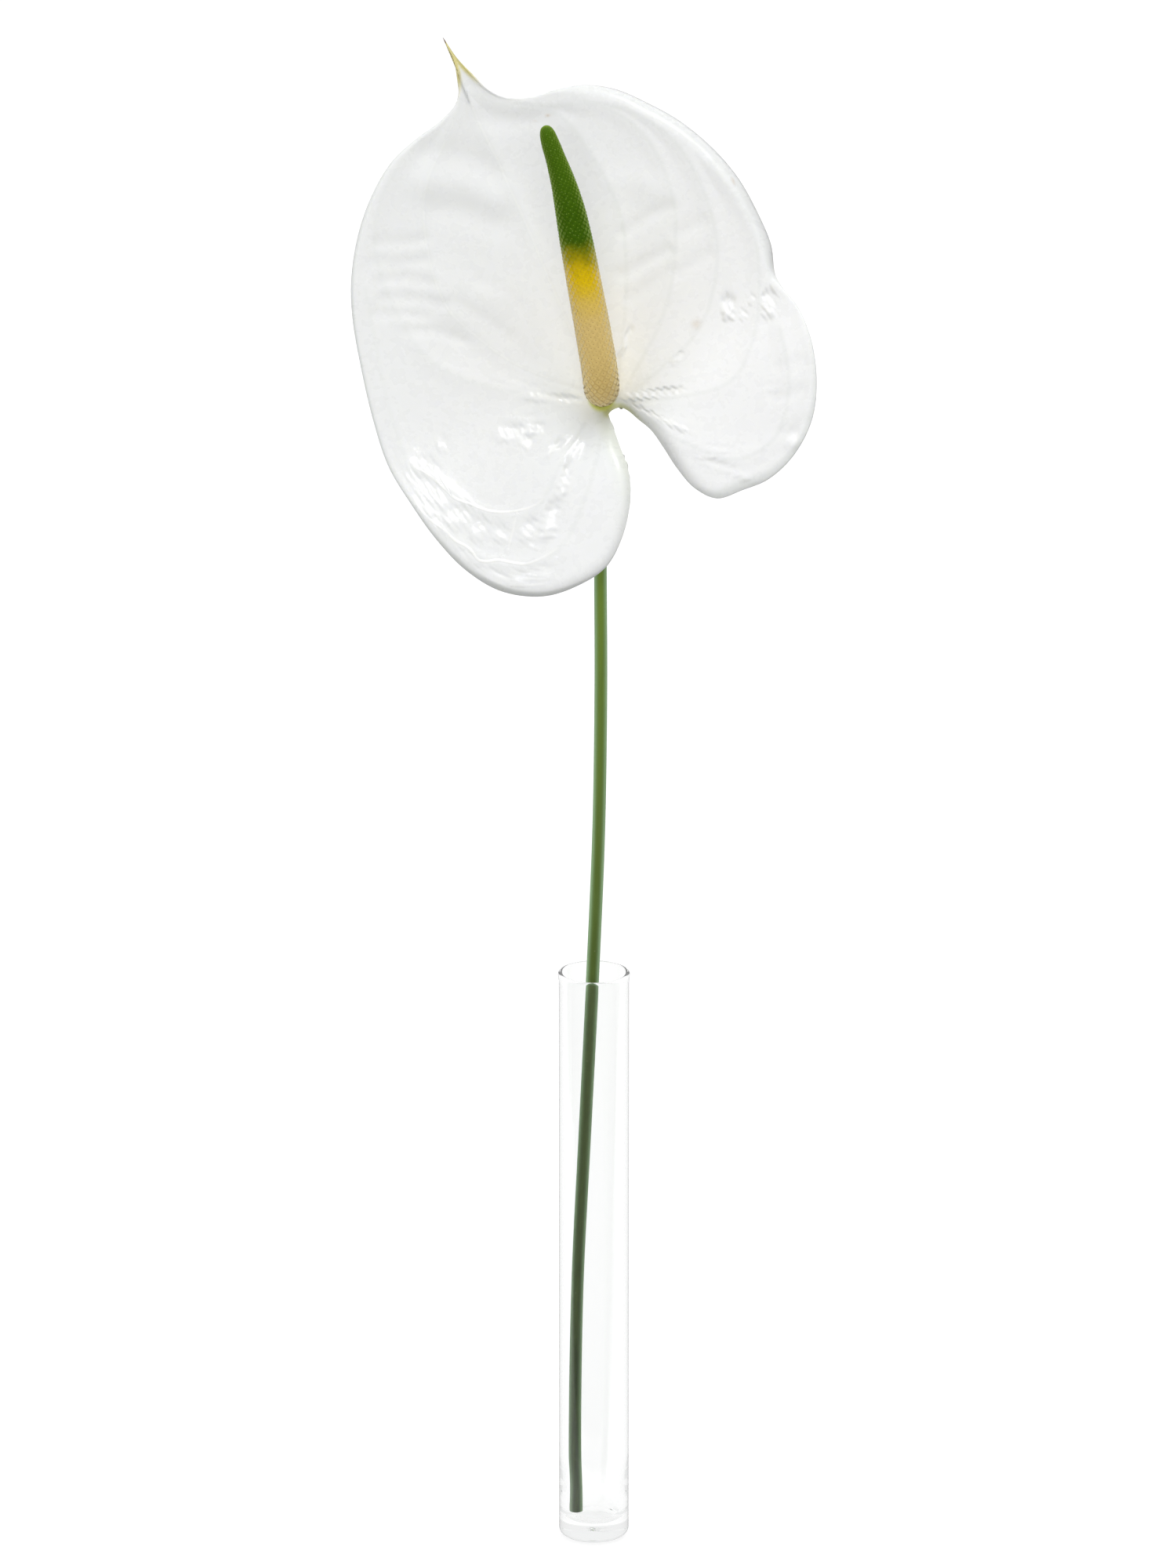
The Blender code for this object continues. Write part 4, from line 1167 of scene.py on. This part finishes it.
def spike_core(finish):
    """The smooth flesh under the florets, closed at both ends."""
    along, turn = np.meshgrid(np.linspace(0, 1, CORE_RINGS + 1), 2 * math.pi * np.arange(CORE_SIDES) / CORE_SIDES, indexing="ij")
    sink = np.full(along.shape, CORE_SINK)
    points = skin_point(along, turn, sink)
    mesh = bpy.data.meshes.new("spike core")
    index = np.arange(points.shape[0] * points.shape[1]).reshape(points.shape[:2])
    index = np.concatenate([index, index[:, :1]], 1)
    faces = np.stack([index[:-1, :-1], index[1:, :-1], index[1:, 1:], index[:-1, 1:]], -1).reshape(-1, 4).tolist()
    faces += [index[0, :-1].tolist(), index[-1, :-1].tolist()]
    mesh.from_pydata(points.reshape(-1, 3), [], faces)
    mesh.attributes.new("middle", "FLOAT", "POINT").data.foreach_set("value", np.full(len(mesh.vertices), 1.2, np.float32))
    mesh.materials.append(finish)
    mesh.shade_smooth()
    return mesh


ripe = spadix_finish()
mould = floret_mould()
seats = floret_seats()
run_tree(seats, floret_tree(), {"Floret": mould, "Size Spread": 0.05, "Seed": 7, "Finish": ripe})
spadix = settled("floret_spadix", seats)
bpy.data.objects.remove(mould, do_unlink=True)
joined = bmesh.new()
joined.from_mesh(spadix.data)
joined.from_mesh(spike_core(ripe))
bmesh.ops.recalc_face_normals(joined, faces=[f for f in joined.faces if len(f.verts) > 4])
joined.to_mesh(spadix.data)
joined.free()
spadix.data.materials.clear()
spadix.data.materials.append(ripe)
spadix.data.polygons.foreach_set("material_index", np.zeros(len(spadix.data.polygons), np.int32))
spadix.data.shade_smooth()
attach(spadix, "root")
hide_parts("spadix")


# Studio. A white table and wide soft lights round the vase, seen through a long lens from a little above.

FLOOR_HALF = 6.0
FLOOR_GLOW = 0.88
FAR_GLOW = 0.93
FAR_FADE = (1.5, 2.0)
FRONT_GLOW = 0.05
FLOOR_FADE = (-0.07, -0.045)
CAMERA_AT = (-0.00203, -4.21073, 1.69900)
CAMERA_PITCH = 18.7
CAMERA_LENS = 300.0
SKY_STRENGTH = 0.36
SKY_IN_VASE = 0.9
SKY_THROUGH_GLASS = 1.1


def before_flesh(tree):
    """1 on every path of light that has met nothing but glass, and 0 once it has met leaf, stem or table."""
    path = tree.nodes.new("ShaderNodeLightPath")
    return ranged(tree, path.outputs["Diffuse Depth"], 0.0, 1.0, 1.0, 0.0)


def brightest(tree, first, second):
    made = tree.nodes.new("ShaderNodeMath")
    made.operation = "MAXIMUM"
    link(tree, first, made.inputs[0])
    link(tree, second, made.inputs[1])
    return made.outputs[0]


def floor_finish():
    """White table. Only its mirror images in the glass are dimmer, and those only in front of the vase."""
    made, tree, shader, place = new_finish("white table")
    shader.inputs["Base Color"].default_value = (0.20, 0.20, 0.20, 1.0)
    glow = mixed(tree, mottle(tree, place, 3.0), (1.0, 1.0, 1.0), (0.99, 0.99, 0.99))
    link(tree, glow, shader.inputs["Emission Color"])
    parts = tree.nodes.new("ShaderNodeSeparateXYZ")
    link(tree, place, parts.inputs["Vector"])
    seen = tree.nodes.new("ShaderNodeMath")
    seen.operation = "MULTIPLY"
    near = ranged(tree, parts.outputs["Y"], *FLOOR_FADE, FRONT_GLOW, FLOOR_GLOW)
    far = ranged(tree, parts.outputs["Y"], *FAR_FADE, 0.0, FAR_GLOW)
    path = tree.nodes.new("ShaderNodeLightPath")
    straight = ranged(tree, path.outputs["Glossy Depth"], 0.0, 1.0, FLOOR_GLOW, 0.0)
    link(tree, brightest(tree, brightest(tree, near, far), straight), seen.inputs[0])
    link(tree, before_flesh(tree), seen.inputs[1])
    link(tree, seen.outputs[0], shader.inputs["Emission Strength"])
    shader.inputs["Roughness"].default_value = 0.9
    return made


floor_mesh = bpy.data.meshes.new("floor")
corners = [(-FLOOR_HALF, -FLOOR_HALF), (FLOOR_HALF, -FLOOR_HALF), (FLOOR_HALF, FLOOR_HALF), (-FLOOR_HALF, FLOOR_HALF)]
floor_mesh.from_pydata([(x, y, -0.0004) for x, y in corners], [], [(0, 1, 2, 3)])
floor_mesh.materials.append(floor_finish())
floor = bpy.data.objects.new("floor", floor_mesh)
SEE_ALL.objects.link(floor)
floor.visible_diffuse = False
floor.visible_glossy = False


def soft_light(name, at, aim, size, power):
    data = bpy.data.lights.new(name, "AREA")
    data.shape = "RECTANGLE"
    data.size, data.size_y = size
    data.energy = power
    light = bpy.data.objects.new(name, data)
    light.location = at
    light.rotation_euler = (Vector(aim) - Vector(at)).to_track_quat("-Z", "Y").to_euler()
    light.visible_transmission = False
    SEE_ALL.objects.link(light)
    return light


soft_light("softbox", (0.12, 0.06, 1.9), (0.0, 0.0, 0.42), (0.46, 0.36), 3.2)
soft_light("small softbox", (-0.84, 0.1, 1.9), (0.0, 0.0, 0.42), (0.26, 0.26), 1.2)
for name, at, size, power in (
    ("overhead scrim", (0.35, -0.1, 1.85), (1.2, 1.0), 9.2),
    ("left scrim", (-0.9, -0.4, 1.6), (0.9, 0.9), 5.5),
    ("back light", (0.3, 1.7, 1.0), (1.6, 1.2), 20.0),
    ("front fill", (0.0, -2.3, 0.95), (1.2, 1.2), 15.0),
):
    soft_light(name, at, (0.0, 0.0, 0.42), size, power).visible_glossy = False

world = bpy.data.worlds.new("studio")
bpy.context.scene.world = world
world.use_nodes = True
sky = world.node_tree.nodes["Background"]
sky.inputs["Color"].default_value = (0.825, 0.83, 0.83, 1.0)
sky_tree = world.node_tree
path = sky_tree.nodes.new("ShaderNodeLightPath")
through = sky_tree.nodes.new("ShaderNodeMath")
through.operation = "MULTIPLY"
link(sky_tree, path.outputs["Is Transmission Ray"], through.inputs[0])
link(sky_tree, before_flesh(sky_tree), through.inputs[1])
outside = ranged(sky_tree, path.outputs["Is Transmission Ray"], 0.0, 1.0, SKY_STRENGTH, SKY_IN_VASE)
through_glass = ranged(sky_tree, through.outputs[0], 0.0, 1.0, 0.0, SKY_THROUGH_GLASS)
link(sky_tree, brightest(sky_tree, outside, through_glass), sky.inputs["Strength"])

camera_data = bpy.data.cameras.new("camera")
camera_data.lens = CAMERA_LENS
camera_data.sensor_width = 36.0
camera_data.clip_end = 50.0
camera = bpy.data.objects.new("camera", camera_data)
camera.location = CAMERA_AT
camera.rotation_euler = (math.radians(90.0 - CAMERA_PITCH), 0.0, 0.0)
SEE_ALL.objects.link(camera)
bpy.context.scene.camera = camera
bpy.context.scene.view_settings.view_transform = "Standard"
cycles = bpy.context.scene.cycles
cycles.max_bounces = cycles.glossy_bounces = cycles.transmission_bounces = GLASS_BOUNCES
